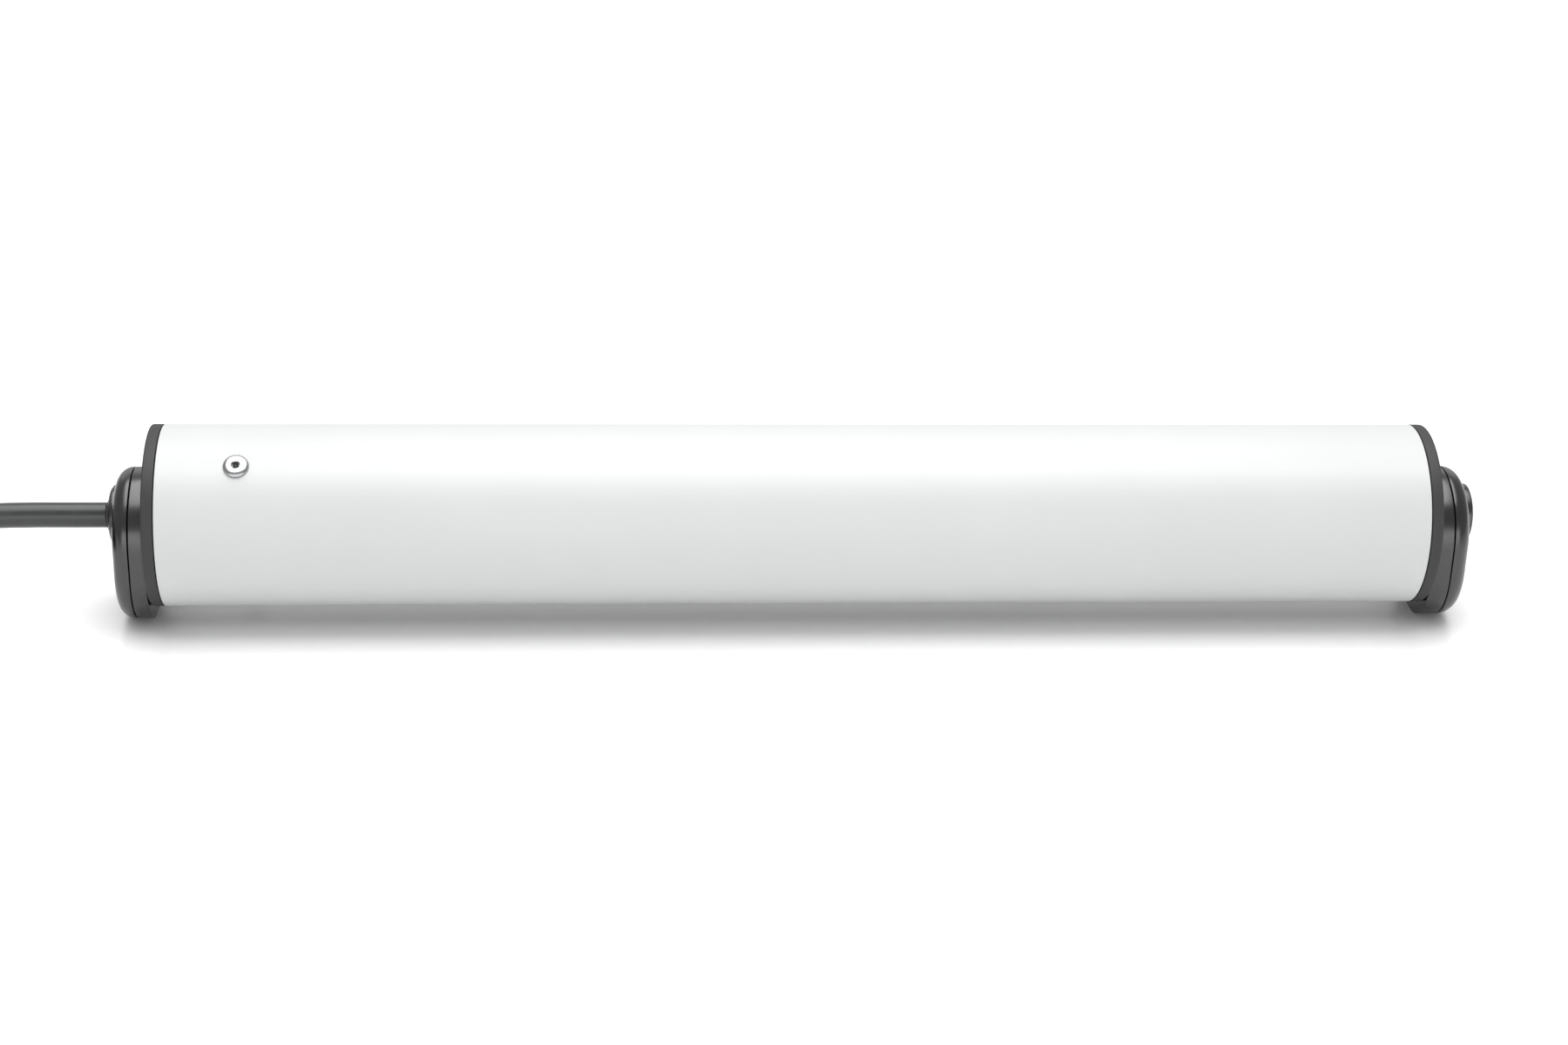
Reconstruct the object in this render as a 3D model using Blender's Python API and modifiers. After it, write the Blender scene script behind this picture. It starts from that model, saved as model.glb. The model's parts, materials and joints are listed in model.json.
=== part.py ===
"""Roller shutter motor: a roller tube with a tubular motor inside it, on two end brackets.

Frame: +X along the tube to the right, +Z up, origin on the surface that the brackets stand
on, under the middle of the tube. Everything on the tube's axis has its own origin there.
"""

import math

import bmesh
import bpy
from mathutils import Vector

MM = 0.001

# Driving dimensions.
TUBE_LENGTH = 416 * MM
TUBE_RADIUS = 30 * MM
TUBE_WALL = 1.5 * MM
FLOOR_CLEARANCE = 5.1 * MM  # between the tube and what the brackets stand on

GAP = 0.3 * MM  # between pieces that touch on the real object
RUNNING_GAP = 0.5 * MM  # between a turning face and a fixed one
HEAD_CLEARANCE = 1.5 * MM  # round the motor head, inside the left end ring

RING_FLANGE = 4.1 * MM
RING_ROUND = 0.9 * MM
RING_SPIGOT = 34 * MM
RING_WALL = 4.2 * MM
RIVET_FROM_END = 25.8 * MM
RIVET_ANGLE = math.radians(125)  # from +Y towards +Z, so it shows at the front and above
RIVET_HEAD = 4.2 * MM
RIVET_SHANK = 1.95 * MM
RIVET_BORE = 1.1 * MM
RIVET_RISE = 1.3 * MM
RIVET_BORE_DEPTH = 1.2 * MM
RIVET_DRILL = 8 * MM  # how deep the hole for a rivet is cut, from the tube's surface

BRACKET_RADIUS = 21 * MM
BRACKET_TOP = 15.6 * MM  # above the axis
LEFT_BASE = 5.1 * MM  # thickness of each shell, at the motor's end and at the idler's
LEFT_COVER = 5.6 * MM
RIGHT_BASE = 6.4 * MM
RIGHT_COVER = 6.0 * MM
FOOT_CUT = 0.4 * MM  # how much the flat foot takes off the round lower end
COVER_ROUND = 4.3 * MM
EDGE_ROUND = 0.4 * MM
ARC_STEPS = 18
SIDE_STEPS = 4
FOOT_STEPS = 8
SCREW_SPREAD = 14.5 * MM
SCREW_DROP = 12.5 * MM
SCREW_HEAD = 3.0 * MM
SCREW_HEAD_DEPTH = 2.2 * MM
SCREW_SHANK = 1.5 * MM
SCREW_BITE = 2.6 * MM  # into the cover
SLOT_DEPTH = 1.0 * MM
SLOT_WIDTH = 0.8 * MM

BOSS_RADIUS = 10 * MM
LEFT_BOSS_RISE = 2.3 * MM
RIGHT_BOSS_RISE = 3.7 * MM
BOSS_SPIGOT = 8.6 * MM
BOSS_SPIGOT_DEPTH = 3.2 * MM
BOSS_STEP = 0.5 * MM  # below its dome

CABLE_RADIUS = 4.2 * MM
GROMMET_LIP = 5.3 * MM
GROMMET_LIP_RISE = 0.7 * MM
GROMMET_COLLAR = 7.4 * MM
GROMMET_COLLAR_WIDTH = 1.6 * MM
GROMMET_WAIST = 5.9 * MM
GROMMET_TIP = 5.1 * MM
GROMMET_LENGTH = 20 * MM

CASE_WALL = 1.0 * MM
HEAD_BOSS_WALL = 3.0 * MM  # of the bracket's base, above the boss
HEAD_FLANGE = 6.3 * MM  # of the head, outside the case
HEAD_LENGTH = 36 * MM
HEAD_WALL = 1.4 * MM
HEAD_FLOOR = 4.5 * MM

CROWN_TEETH = 40
PINION_TEETH = 13
CROWN_WIDTH = 4.0 * MM
CROWN_WALL = 1.6 * MM  # of the left end ring, round the crown
CROWN_INSET = 1.7 * MM  # from the left end ring's outer face
SPINDLE_RADIUS = 1.5 * MM
CAM_WIDTH = 5.0 * MM
CAM_SPACING = 10.0 * MM
CAM_INSET = 6.5 * MM  # from the floor of the head
CAM_BASE = 0.8  # of the lobe's radius
SPINDLE_INSET = 3 * MM  # from the open end of the head
SWITCH_HEIGHT = 6.0 * MM
SWITCH_WIDTH = 10 * MM
BOARD_THICKNESS = 1.6 * MM
BOARD_MARGIN = 2 * MM  # beyond the first cam, and from the head's end
ADJUSTER_HEAD = 2.3 * MM
ADJUSTER_SHANK = 1.7 * MM
ADJUSTER_HEAD_LENGTH = 3 * MM
ADJUSTER_RECESS = 0.6 * MM  # below the cover's face
ADJUSTER_BEYOND = 3 * MM  # past the floor of the head
ADJUSTER_PLACE = 13.2 * MM  # from the axis
ADJUSTER_ANGLE = math.radians(50)  # each side, below the level of the axis

CAPACITOR_RADIUS = 14 * MM
CAPACITOR_LENGTH = 40 * MM
CAPACITOR_SPACE = 4 * MM  # to the head
SHIELD_SPACE = 3 * MM  # to the capacitor
STATOR_LENGTH = 50 * MM
STATOR_BORE = 11.4 * MM
AIR_GAP = 0.4 * MM
WINDING_LENGTH = 9 * MM
WINDING_INSIDE = 1.2 * MM  # from the stator's bore
WINDING_OUTSIDE = 1.6 * MM  # from the case
SHAFT_RADIUS = 2.4 * MM
SHIELD_THICKNESS = 4 * MM
BRAKE_COIL_LENGTH = 11 * MM
BRAKE_BORE = 6 * MM
BRAKE_DISC = 2.5 * MM
ARMATURE = 3 * MM
BRAKE_STROKE = 1.2 * MM

SUN_TEETH = 12
PLANET_TEETH = 18
GEAR_RING_TEETH = 48
GEAR_RING_WALL = 2.25 * MM
STAGE_1_FACE = 12 * MM
STAGE_2_FACE = 16 * MM
CARRIER_THICKNESS = 5 * MM
SIDE_GAP = 1.0 * MM  # beside gears and discs
PIN_RADIUS = 1.6 * MM
CARRIER_RIM = 3.84 * MM  # beyond the planets' orbit
JOIN = 1 * MM  # how far solids that are one piece run into each other
SHAFT_BEYOND = 2 * MM
OUTPUT_SHAFT = 6.5 * MM
GEARBOX_FLANGE = 5 * MM
FLANGE_CHAMFER = 1 * MM
DRIVE_SPACE = 3 * MM  # to the gearbox flange
DRIVE_WHEEL = 20 * MM
DRIVE_WHEEL_GROOVES = 6
GROOVE_DEPTH = 2 * MM

BEARING_OUTER = 13 * MM
BEARING_BORE = 5.3 * MM
BEARING_RACE = 2.6 * MM
BEARING_WIDTH = 8 * MM
BEARING_INSET = 2 * MM  # from the right end ring's face
BEARING_SHOULDER = 6 * MM  # the right end ring goes on past the bearing
AXLE_RADIUS = 5 * MM
AXLE_HEAD = 7.8 * MM
AXLE_CHAMFER = 0.8 * MM
AXLE_END = 3 * MM  # beyond the bearing

# The cable's route is in millimetres. The tail's is measured from the coil's centre, and
# each core's is to the right of the sheath's end, ahead of it, and up from the floor.
CABLE_ROUTE = [
    (-227.2, 0, 35.1), (-238, 0, 35.1), (-252, 0, 35.1), (-266, -0.5, 34.9),
    (-280, -2.4, 34.3), (-291, -5.2, 33.4), (-301, -8.9, 32.3),
]
COIL_CENTRE = Vector((-350 * MM, 27 * MM, 0))
COIL_MIDDLE = 48 * MM
COIL_COLUMNS = 2
COIL_LAYERS = 4
TAIL_ROUTE = [
    (0, -35, 4.2), (-9.85, -33.33, 4.2), (-18.61, -28.53, 4.2), (-25.3, -21.12, 4.2),
    (-29.19, -11.92, 4.2), (-29.84, -1.95, 4.2), (-27.19, 7.68, 4.2),
]
TAIL_HEADING = math.radians(65)  # from +X towards +Y, at the sheath's end
CORE_RADIUS = 1.2 * MM
CORE_ROUTES = {
    "core_brown": [(-1.5, 0.9, 5.7), (-2.6, 7, 5.2), (-4.0, 14, 3.2), (-5.0, 20, 1.3)],
    "core_black": [(1.5, 0.9, 5.7), (2.0, 8, 6.0), (2.2, 17, 4.4), (1.6, 25, 2.0)],
    "core_blue": [(-1.5, 0.9, 2.7), (-1.0, 8, 2.0), (3.0, 16, 1.4), (6.5, 23, 1.25)],
    "core_earth": [(1.5, 0.9, 2.7), (4.0, 7, 2.0), (8.5, 14, 1.4), (13.0, 20, 1.25)],
}

# Places that follow from them.
AXIS_HEIGHT = TUBE_RADIUS + FLOOR_CLEARANCE
HEAD_BOSS = BRACKET_TOP - HEAD_BOSS_WALL - GAP
TUBE_END = TUBE_LENGTH / 2
TUBE_BORE = TUBE_RADIUS - TUBE_WALL
SPIGOT_RADIUS = TUBE_BORE - GAP
RING_FACE = TUBE_END + RING_FLANGE
BASE_FACE = RING_FACE + RUNNING_GAP
LEFT_SEAM = BASE_FACE + LEFT_BASE
LEFT_FACE = LEFT_SEAM + GAP + LEFT_COVER
LEFT_BOSS_FACE = LEFT_FACE + LEFT_BOSS_RISE
RIGHT_SEAM = BASE_FACE + RIGHT_BASE
RIGHT_FACE = RIGHT_SEAM + GAP + RIGHT_COVER
RIGHT_BOSS_FACE = RIGHT_FACE + RIGHT_BOSS_RISE
CASE_RADIUS = SPIGOT_RADIUS - RING_WALL - HEAD_CLEARANCE
CASE_BORE = CASE_RADIUS - CASE_WALL
INSIDE_CASE = CASE_BORE - GAP
HEAD_HOLLOW = INSIDE_CASE - HEAD_WALL

HEAD_START = -BASE_FACE + GAP
HEAD_SHOULDER = HEAD_START + HEAD_FLANGE
HEAD_END = HEAD_SHOULDER + HEAD_LENGTH
CAPACITOR_START = HEAD_END + CAPACITOR_SPACE
CAPACITOR_END = CAPACITOR_START + CAPACITOR_LENGTH
SHIELD_START = CAPACITOR_END + SHIELD_SPACE
WINDING_1 = SHIELD_START + SHIELD_THICKNESS + SIDE_GAP
STATOR_START = WINDING_1 + WINDING_LENGTH + GAP
STATOR_END = STATOR_START + STATOR_LENGTH
WINDING_2 = STATOR_END + GAP
BRAKE_COIL = WINDING_2 + WINDING_LENGTH + SIDE_GAP
ARMATURE_START = BRAKE_COIL + BRAKE_COIL_LENGTH + BRAKE_STROKE + GAP
BRAKE_DISC_START = ARMATURE_START + ARMATURE + GAP
BRAKE_PLATE = BRAKE_DISC_START + BRAKE_DISC + GAP
GEARBOX_START = BRAKE_PLATE + SHIELD_THICKNESS + GAP
STAGE_1 = GEARBOX_START + SIDE_GAP
CARRIER_1 = STAGE_1 + STAGE_1_FACE + SIDE_GAP
STAGE_2 = CARRIER_1 + CARRIER_THICKNESS + SIDE_GAP
CARRIER_2 = STAGE_2 + STAGE_2_FACE + SIDE_GAP
GEARBOX_END = CARRIER_2 + CARRIER_THICKNESS + SIDE_GAP
DRIVE_START = GEARBOX_END + GAP + GEARBOX_FLANGE + DRIVE_SPACE
DRIVE_END = DRIVE_START + DRIVE_WHEEL

ADDENDUM = 0.75
DEDENDUM = 1.2
TIP_SHARE = 0.24  # of the tooth pitch, at the tip and at the root of a tooth
ROOT_SHARE = 0.54
GEAR_MODULE = (INSIDE_CASE - GEAR_RING_WALL) / (GEAR_RING_TEETH / 2 + DEDENDUM)
PLANET_ORBIT = GEAR_MODULE * (SUN_TEETH + PLANET_TEETH) / 2
CROWN_MODULE = (CASE_RADIUS + HEAD_CLEARANCE) / (CROWN_TEETH / 2)
PINION_ORBIT = CROWN_MODULE * (CROWN_TEETH - PINION_TEETH) / 2
CAM_RADIUS = HEAD_HOLLOW - PINION_ORBIT - GAP
CROWN_START = -RING_FACE + CROWN_INSET
SPINDLE_START = CROWN_START + GAP
SPINDLE_END = HEAD_END - SPINDLE_INSET
CAM_START = HEAD_START + HEAD_FLOOR + CAM_INSET

for old in list(bpy.data.objects):
    bpy.data.objects.remove(old, do_unlink=True)

parts = bpy.data.collections.new("roller_shutter_motor")
cutters = bpy.data.collections.new("cutters")
bpy.context.scene.collection.children.link(parts)
bpy.context.scene.collection.children.link(cutters)


def finish(name, colour, roughness, metallic=0.0):
    """A Principled material."""
    made = bpy.data.materials.new(name)
    made.use_nodes = True
    shader = made.node_tree.nodes["Principled BSDF"]
    shader.inputs["Base Color"].default_value = (*colour, 1)
    shader.inputs["Roughness"].default_value = roughness
    shader.inputs["Metallic"].default_value = metallic
    return made


ALUMINIUM = finish("satin anodised aluminium", (0.80, 0.80, 0.80), 0.38, 1.0)
BLACK_SATIN = finish("black moulded nylon, satin", (0.012, 0.012, 0.013), 0.28)
BLACK_MATT = finish("black moulded nylon, matt", (0.03, 0.03, 0.031), 0.55)
RUBBER = finish("black rubber", (0.02, 0.02, 0.02), 0.6)
CABLE_SHEATH = finish("grey-black cable sheath", (0.035, 0.035, 0.037), 0.45)
STEEL = finish("bright steel", (0.6, 0.6, 0.6), 0.3, 1.0)
ZINC = finish("zinc-plated steel", (0.66, 0.66, 0.64), 0.35, 1.0)
IRON = finish("laminated electrical steel", (0.25, 0.25, 0.26), 0.45, 1.0)
COPPER = finish("enamelled copper", (0.55, 0.22, 0.09), 0.35, 1.0)
GREY_PLASTIC = finish("grey moulded acetal", (0.35, 0.36, 0.37), 0.5)
WHITE_PLASTIC = finish("white moulded acetal", (0.75, 0.75, 0.72), 0.45)
BOARD_GREEN = finish("circuit board", (0.03, 0.16, 0.06), 0.5)
FRICTION = finish("brake lining", (0.10, 0.08, 0.06), 0.9)
CORE_COLOURS = {
    "core_brown": finish("brown core", (0.13, 0.05, 0.02), 0.45),
    "core_black": finish("black core", (0.01, 0.01, 0.01), 0.45),
    "core_blue": finish("blue core", (0.02, 0.09, 0.35), 0.45),
    "core_earth": finish("green and yellow core", (0.30, 0.45, 0.03), 0.45),
}


def place(name, mesh, material, at=(0, 0), smooth=True):
    """Adds a sub-part whose origin is at (y, z) from the tube's axis."""
    made = bpy.data.objects.new(name, mesh)
    made.location = (0, at[0], AXIS_HEIGHT + at[1])
    parts.objects.link(made)
    mesh.materials.append(material)
    if smooth:
        mesh.shade_smooth()
        mesh.set_sharp_from_angle(angle=math.radians(35))
    return made


def turned(name, profile, material, segments=24, at=(0, 0)):
    """A piece turned about an axis along X, from its profile of (x, radius) points."""
    area = sum(a[0] * b[1] - b[0] * a[1] for a, b in zip(profile, profile[1:] + profile[:1]))
    if area < 0:
        profile = profile[::-1]
    solid = [i for i, p in enumerate(profile) if p[1] == 0]
    if solid:  # starts the open profile after its edge along the axis
        turn = max(solid) if max(solid) - min(solid) == 1 else 0
        profile = profile[turn:] + profile[:turn]
    count = len(profile)
    mesh = bpy.data.meshes.new(name)
    edges = [(i, (i + 1) % count) for i in range(count - 1 if solid else count)]
    mesh.from_pydata([(x, r, 0) for x, r in profile], edges, [])
    made = place(name, mesh, material, at, smooth=False)
    spin = made.modifiers.new("turn", "SCREW")
    spin.axis = "X"
    spin.steps = spin.render_steps = segments
    spin.use_merge_vertices = True
    spin.merge_threshold = 0.00001
    spin.use_smooth_shade = True
    return made


def disc(x0, x1, outer, inner=0.0):
    """The profile of a plain disc or ring."""
    return [(x0, inner), (x1, inner), (x1, outer), (x0, outer)]


def flat_mesh(name, loops, x0, x1, turn=0.0):
    """A flat solid across the axis, from x0 to x1: loops[0] is its outline, the rest holes."""
    curve = bpy.data.curves.new(name, "CURVE")
    curve.dimensions = "2D"
    curve.fill_mode = "BOTH"
    curve.extrude = (x1 - x0) / 2
    for loop in loops:
        spline = curve.splines.new("POLY")
        spline.points.add(len(loop) - 1)
        for point, (y, z) in zip(spline.points, loop):
            point.co = (y, z, 0, 1)
        spline.use_cyclic_u = True
    guide = bpy.data.objects.new(name, curve)
    bpy.context.scene.collection.objects.link(guide)
    depsgraph = bpy.context.evaluated_depsgraph_get()
    mesh = bpy.data.meshes.new_from_object(guide.evaluated_get(depsgraph))
    bpy.data.objects.remove(guide)
    work = bmesh.new()
    work.from_mesh(mesh)
    for vert in work.verts:
        y, z, x = vert.co
        vert.co = (
            (x0 + x1) / 2 + x,
            y * math.cos(turn) - z * math.sin(turn),
            y * math.sin(turn) + z * math.cos(turn),
        )
    bmesh.ops.remove_doubles(work, verts=work.verts, dist=0.000005)
    bmesh.ops.recalc_face_normals(work, faces=work.faces)
    work.to_mesh(mesh)
    work.free()
    mesh.name = name
    mesh.materials.clear()
    return mesh


def flat(name, loops, x0, x1, material, at=(0, 0), turn=0.0):
    """A flat piece whose own origin is at (y, z) from the tube's axis."""
    return place(name, flat_mesh(name, loops, x0, x1, turn), material, at)


def rod_mesh(x0, x1, radius, segments=24, at=(0, 0)):
    """A plain cylinder along X, with its axis at (y, z)."""
    mesh = bpy.data.meshes.new("rod")
    work = bmesh.new()
    bmesh.ops.create_cone(
        work, cap_ends=True, segments=segments, radius1=radius, radius2=radius, depth=x1 - x0
    )
    for vert in work.verts:
        x, y, z = vert.co
        vert.co = ((x0 + x1) / 2 + z, x + at[0], y + at[1])
    work.to_mesh(mesh)
    work.free()
    return mesh


def circle(radius, count=24):
    """A circle's points about the origin."""
    steps = [2 * math.pi * i / count for i in range(count)]
    return [(radius * math.cos(a), radius * math.sin(a)) for a in steps]


def gear(teeth, module, internal=False):
    """A gear's outline with straight-sided teeth, the first tooth centred on +Y."""
    pitch_radius = module * teeth / 2
    side = -1 if internal else 1
    tip, root = pitch_radius + side * ADDENDUM * module, pitch_radius - side * DEDENDUM * module
    outline = []
    for tooth in range(teeth):
        for share, radius in ((-ROOT_SHARE, root), (-TIP_SHARE, tip), (TIP_SHARE, tip), (ROOT_SHARE, root)):
            angle = 2 * math.pi / teeth * (tooth + share / 2)
            outline.append((radius * math.cos(angle), radius * math.sin(angle)))
    return outline


def planet_turn(angle, sun_teeth, planet_teeth):
    """How far a planet at that angle is turned, so that its teeth are in mesh with the sun's."""
    return angle + math.pi + (angle * sun_teeth - math.pi) / planet_teeth


def cutter(name, x0, x1, radius, at=(0, 0), segments=16):
    """A hidden cylinder along X that makes a hole."""
    return hide(name, rod_mesh(x0, x1, radius, segments), (0, at[0], AXIS_HEIGHT + at[1]))


def hide(name, mesh, location=(0, 0, AXIS_HEIGHT)):
    """A tool for a boolean: it is drawn as wire and never rendered."""
    made = bpy.data.objects.new(name, mesh)
    made.location = location
    made.hide_render = True
    made.display_type = "WIRE"
    cutters.objects.link(made)
    return made


def combine(target, tool, operation="DIFFERENCE"):
    """Cuts the tool out of the target, or joins it on."""
    cut = target.modifiers.new(tool.name, "BOOLEAN")
    cut.solver = "EXACT"
    cut.operation = operation
    cut.object = tool
    return target


def box(name, low, high, material):
    """A box between two corners, measured from the tube's axis at mid-length."""
    mesh = bpy.data.meshes.new(name)
    work = bmesh.new()
    bmesh.ops.create_cube(work, size=1)
    for vert in work.verts:
        vert.co = [(a + b) / 2 + c * (b - a) for a, b, c in zip(low, high, vert.co)]
    work.to_mesh(mesh)
    work.free()
    return place(name, mesh, material, smooth=False)


# The brackets: two moulded shells each, lofted between the bracket's outline and a round hole.

def bracket_outline(inset=0.0):
    """The bracket's outline: a round top, straight sides, and a round lower end with a flat foot."""
    radius = BRACKET_RADIUS - inset
    upper = BRACKET_TOP - BRACKET_RADIUS
    lower = -(AXIS_HEIGHT + FOOT_CUT - BRACKET_RADIUS)
    corner = math.asin(min(1.0, (AXIS_HEIGHT - inset + lower) / radius))
    points = []
    for i in range(ARC_STEPS + 1):
        angle = math.pi * i / ARC_STEPS
        points.append((radius * math.cos(angle), upper + radius * math.sin(angle)))
    side = [(-radius, upper + (lower - upper) * i / SIDE_STEPS) for i in range(1, SIDE_STEPS)]
    for i in range(FOOT_STEPS + 1):
        angle = math.pi + corner * i / FOOT_STEPS
        side.append((radius * math.cos(angle), lower + radius * math.sin(angle)))
    return points + side + [(-y, z) for y, z in reversed(side)]


def hole_loop(radius):
    """A round hole's points, each in line with the outline's."""
    return [
        (radius * math.cos(math.atan2(z, y)), radius * math.sin(math.atan2(z, y)))
        for y, z in bracket_outline()
    ]


def bracket_shell(name, side, sections):
    """A closed ring-shaped loft through sections of (x, points), last one joined to first."""
    mesh = bpy.data.meshes.new(name)
    work = bmesh.new()
    rows = [[work.verts.new((side * x, y, z)) for y, z in loop] for x, loop in sections]
    count = len(rows[0])
    for row, following in zip(rows, rows[1:] + rows[:1]):
        for i in range(count):
            j = (i + 1) % count
            work.faces.new((row[i], row[j], following[j], following[i]))
    bmesh.ops.recalc_face_normals(work, faces=work.faces)
    work.to_mesh(mesh)
    work.free()
    return place(name, mesh, BLACK_SATIN)


def rounded_rim(x, run, steps):
    """Sections of a rim that rounds over, from the full outline at x to the outer face."""
    return [
        (
            x + run * math.sin(math.pi / 2 * i / steps),
            bracket_outline(run * (1 - math.cos(math.pi / 2 * i / steps))),
        )
        for i in range(steps + 1)
    ]


def bracket(word, side, base_hole, seam, face):
    """One end bracket: its base beside the ring, its cover, and the two screws between them."""
    base = bracket_shell(
        f"{word}_bracket_base",
        side,
        [
            (BASE_FACE, hole_loop(base_hole)),
            (BASE_FACE, bracket_outline(EDGE_ROUND)),
            (BASE_FACE + EDGE_ROUND, bracket_outline()),
            (seam - EDGE_ROUND, bracket_outline()),
            (seam, bracket_outline(EDGE_ROUND)),
            (seam, hole_loop(base_hole)),
        ],
    )
    inner = seam + GAP
    cover = bracket_shell(
        f"{word}_bracket_cover",
        side,
        [
            (inner, hole_loop(BOSS_SPIGOT + GAP)),
            (inner, bracket_outline(EDGE_ROUND)),
            *rounded_rim(inner + EDGE_ROUND, COVER_ROUND, 5),
            (face, bracket_outline(COVER_ROUND + GAP)),
            (face, hole_loop(BOSS_SPIGOT + GAP)),
        ],
    )
    for number, y in ((1, -SCREW_SPREAD), (2, SCREW_SPREAD)):
        at = (y, -SCREW_DROP)
        screw_name = f"{word}_bracket_screw_{number}"
        head, end = BASE_FACE + GAP, seam + GAP + SCREW_BITE
        profile = [
            (side * x, r)
            for x, r in (
                (head, 0),
                (head, SCREW_HEAD),
                (head + SCREW_HEAD_DEPTH, SCREW_HEAD),
                (head + SCREW_HEAD_DEPTH, SCREW_SHANK),
                (end, SCREW_SHANK),
                (end + GAP, SCREW_SHANK - GAP),
                (end + GAP, 0),
            )
        ]
        screw = turned(screw_name, profile, ZINC, 14, at)
        combine(screw, hide(f"{screw_name}_slot", slot_mesh(side * head, SCREW_HEAD), screw.location))
        low = BASE_FACE - GAP
        head_end = head + SCREW_HEAD_DEPTH + GAP
        for tool, x0, x1, radius, target in (
            ("sink", low, head_end, SCREW_HEAD + GAP, base),
            ("way", low, seam + GAP, SCREW_SHANK + GAP, base),
            ("pilot", seam, end + 2 * GAP, SCREW_SHANK + GAP, cover),
        ):
            ends = sorted((side * x0, side * x1))
            combine(target, cutter(f"{screw_name}_{tool}", *ends, radius, at))
    return base, cover


def slot_mesh(x, reach):
    """A screwdriver slot across a screw's head at x."""
    mesh = bpy.data.meshes.new("slot")
    work = bmesh.new()
    bmesh.ops.create_cube(work, size=1)
    for vert in work.verts:
        vert.co = (x + vert.co.x * 2 * SLOT_DEPTH, vert.co.y * 3 * reach, vert.co.z * SLOT_WIDTH)
    work.to_mesh(mesh)
    work.free()
    return mesh


left_base, left_cover = bracket("left", -1, HEAD_BOSS + GAP, LEFT_SEAM, LEFT_FACE)
bracket("right", 1, AXLE_RADIUS + GAP, RIGHT_SEAM, RIGHT_FACE)


def boss_profile(side, bore, face, boss_face):
    """The round boss on a cover: a low dome with a spigot in the cover's hole."""
    foot = face + GAP + BOSS_STEP
    dome = [
        (
            foot + (boss_face - foot) * math.cos(math.pi / 2 * i / 4),
            bore + (BOSS_RADIUS - bore) * math.sin(math.pi / 2 * i / 4),
        )
        for i in range(0 if bore else 1, 5)
    ]
    start = [] if bore else [(boss_face, 0)]
    spigot = face - BOSS_SPIGOT_DEPTH
    points = [
        *start,
        *dome,
        (face + GAP, BOSS_RADIUS),
        (face + GAP, BOSS_SPIGOT),
        (spigot, BOSS_SPIGOT),
        (spigot, bore),
    ]
    return [(side * x, r) for x, r in points]


GROMMET_INNER = LEFT_BOSS_FACE + GROMMET_LIP_RISE - GROMMET_LENGTH
outlet = boss_profile(-1, GROMMET_WAIST + GAP, LEFT_FACE, LEFT_BOSS_FACE)
turned("left_outlet_boss", outlet, BLACK_SATIN, 28)
turned("right_axle_cap", boss_profile(1, 0, RIGHT_FACE, RIGHT_BOSS_FACE), BLACK_SATIN)

# The strain relief: its tapered length lies inside the outlet, with a lip round the cable.
grommet_bore = CABLE_RADIUS + GAP
collar = -LEFT_FACE + BOSS_SPIGOT_DEPTH + GAP
turned(
    "cable_strain_relief",
    [
        (-LEFT_BOSS_FACE - GROMMET_LIP_RISE, grommet_bore),
        (-LEFT_BOSS_FACE - GROMMET_LIP_RISE, GROMMET_LIP - GAP),
        (-LEFT_BOSS_FACE - GROMMET_LIP_RISE + GAP, GROMMET_LIP),
        (collar, GROMMET_WAIST),
        (collar, GROMMET_COLLAR),
        (collar + GROMMET_COLLAR_WIDTH, GROMMET_COLLAR),
        (collar + GROMMET_COLLAR_WIDTH, GROMMET_WAIST),
        (-GROMMET_INNER, GROMMET_TIP),
        (-GROMMET_INNER, grommet_bore),
    ],
    RUBBER,
    24,
)

# The roller: tube, end rings, rivets.
tube = turned(
    "roller_tube",
    [
        (-TUBE_END, TUBE_BORE + GAP),
        (-TUBE_END, TUBE_RADIUS - GAP),
        (-TUBE_END + GAP, TUBE_RADIUS),
        (TUBE_END - GAP, TUBE_RADIUS),
        (TUBE_END, TUBE_RADIUS - GAP),
        (TUBE_END, TUBE_BORE + GAP),
        (TUBE_END - GAP, TUBE_BORE),
        (-TUBE_END + GAP, TUBE_BORE),
    ],
    ALUMINIUM,
    56,
)
RING_START = TUBE_END + GAP
ring_rim = [
    (
        RING_FACE - RING_ROUND * (1 - math.cos(math.pi / 2 * i / 3)),
        TUBE_RADIUS - RING_ROUND * (1 - math.sin(math.pi / 2 * i / 3)),
    )
    for i in range(4)
]
CROWN_SEAT = SPIGOT_RADIUS - CROWN_WALL
CROWN_END = CROWN_START + CROWN_WIDTH
left_ring = turned(
    "left_end_ring",
    [
        (-x, r)
        for x, r in (
            (RING_FACE, CASE_RADIUS + HEAD_CLEARANCE),
            *ring_rim,
            (RING_START, TUBE_RADIUS),
            (RING_START, SPIGOT_RADIUS),
            (TUBE_END - RING_SPIGOT, SPIGOT_RADIUS),
            (TUBE_END - RING_SPIGOT, SPIGOT_RADIUS - RING_WALL),
            (-CROWN_END - GAP, SPIGOT_RADIUS - RING_WALL),
            (-CROWN_END - GAP, CROWN_SEAT),
            (-CROWN_START + GAP, CROWN_SEAT),
            (-CROWN_START + GAP, CASE_RADIUS + HEAD_CLEARANCE),
        )
    ],
    BLACK_MATT,
    40,
)
BEARING_SEAT = BEARING_OUTER + GAP
BEARING_START = RING_FACE - BEARING_INSET - BEARING_WIDTH
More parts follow.
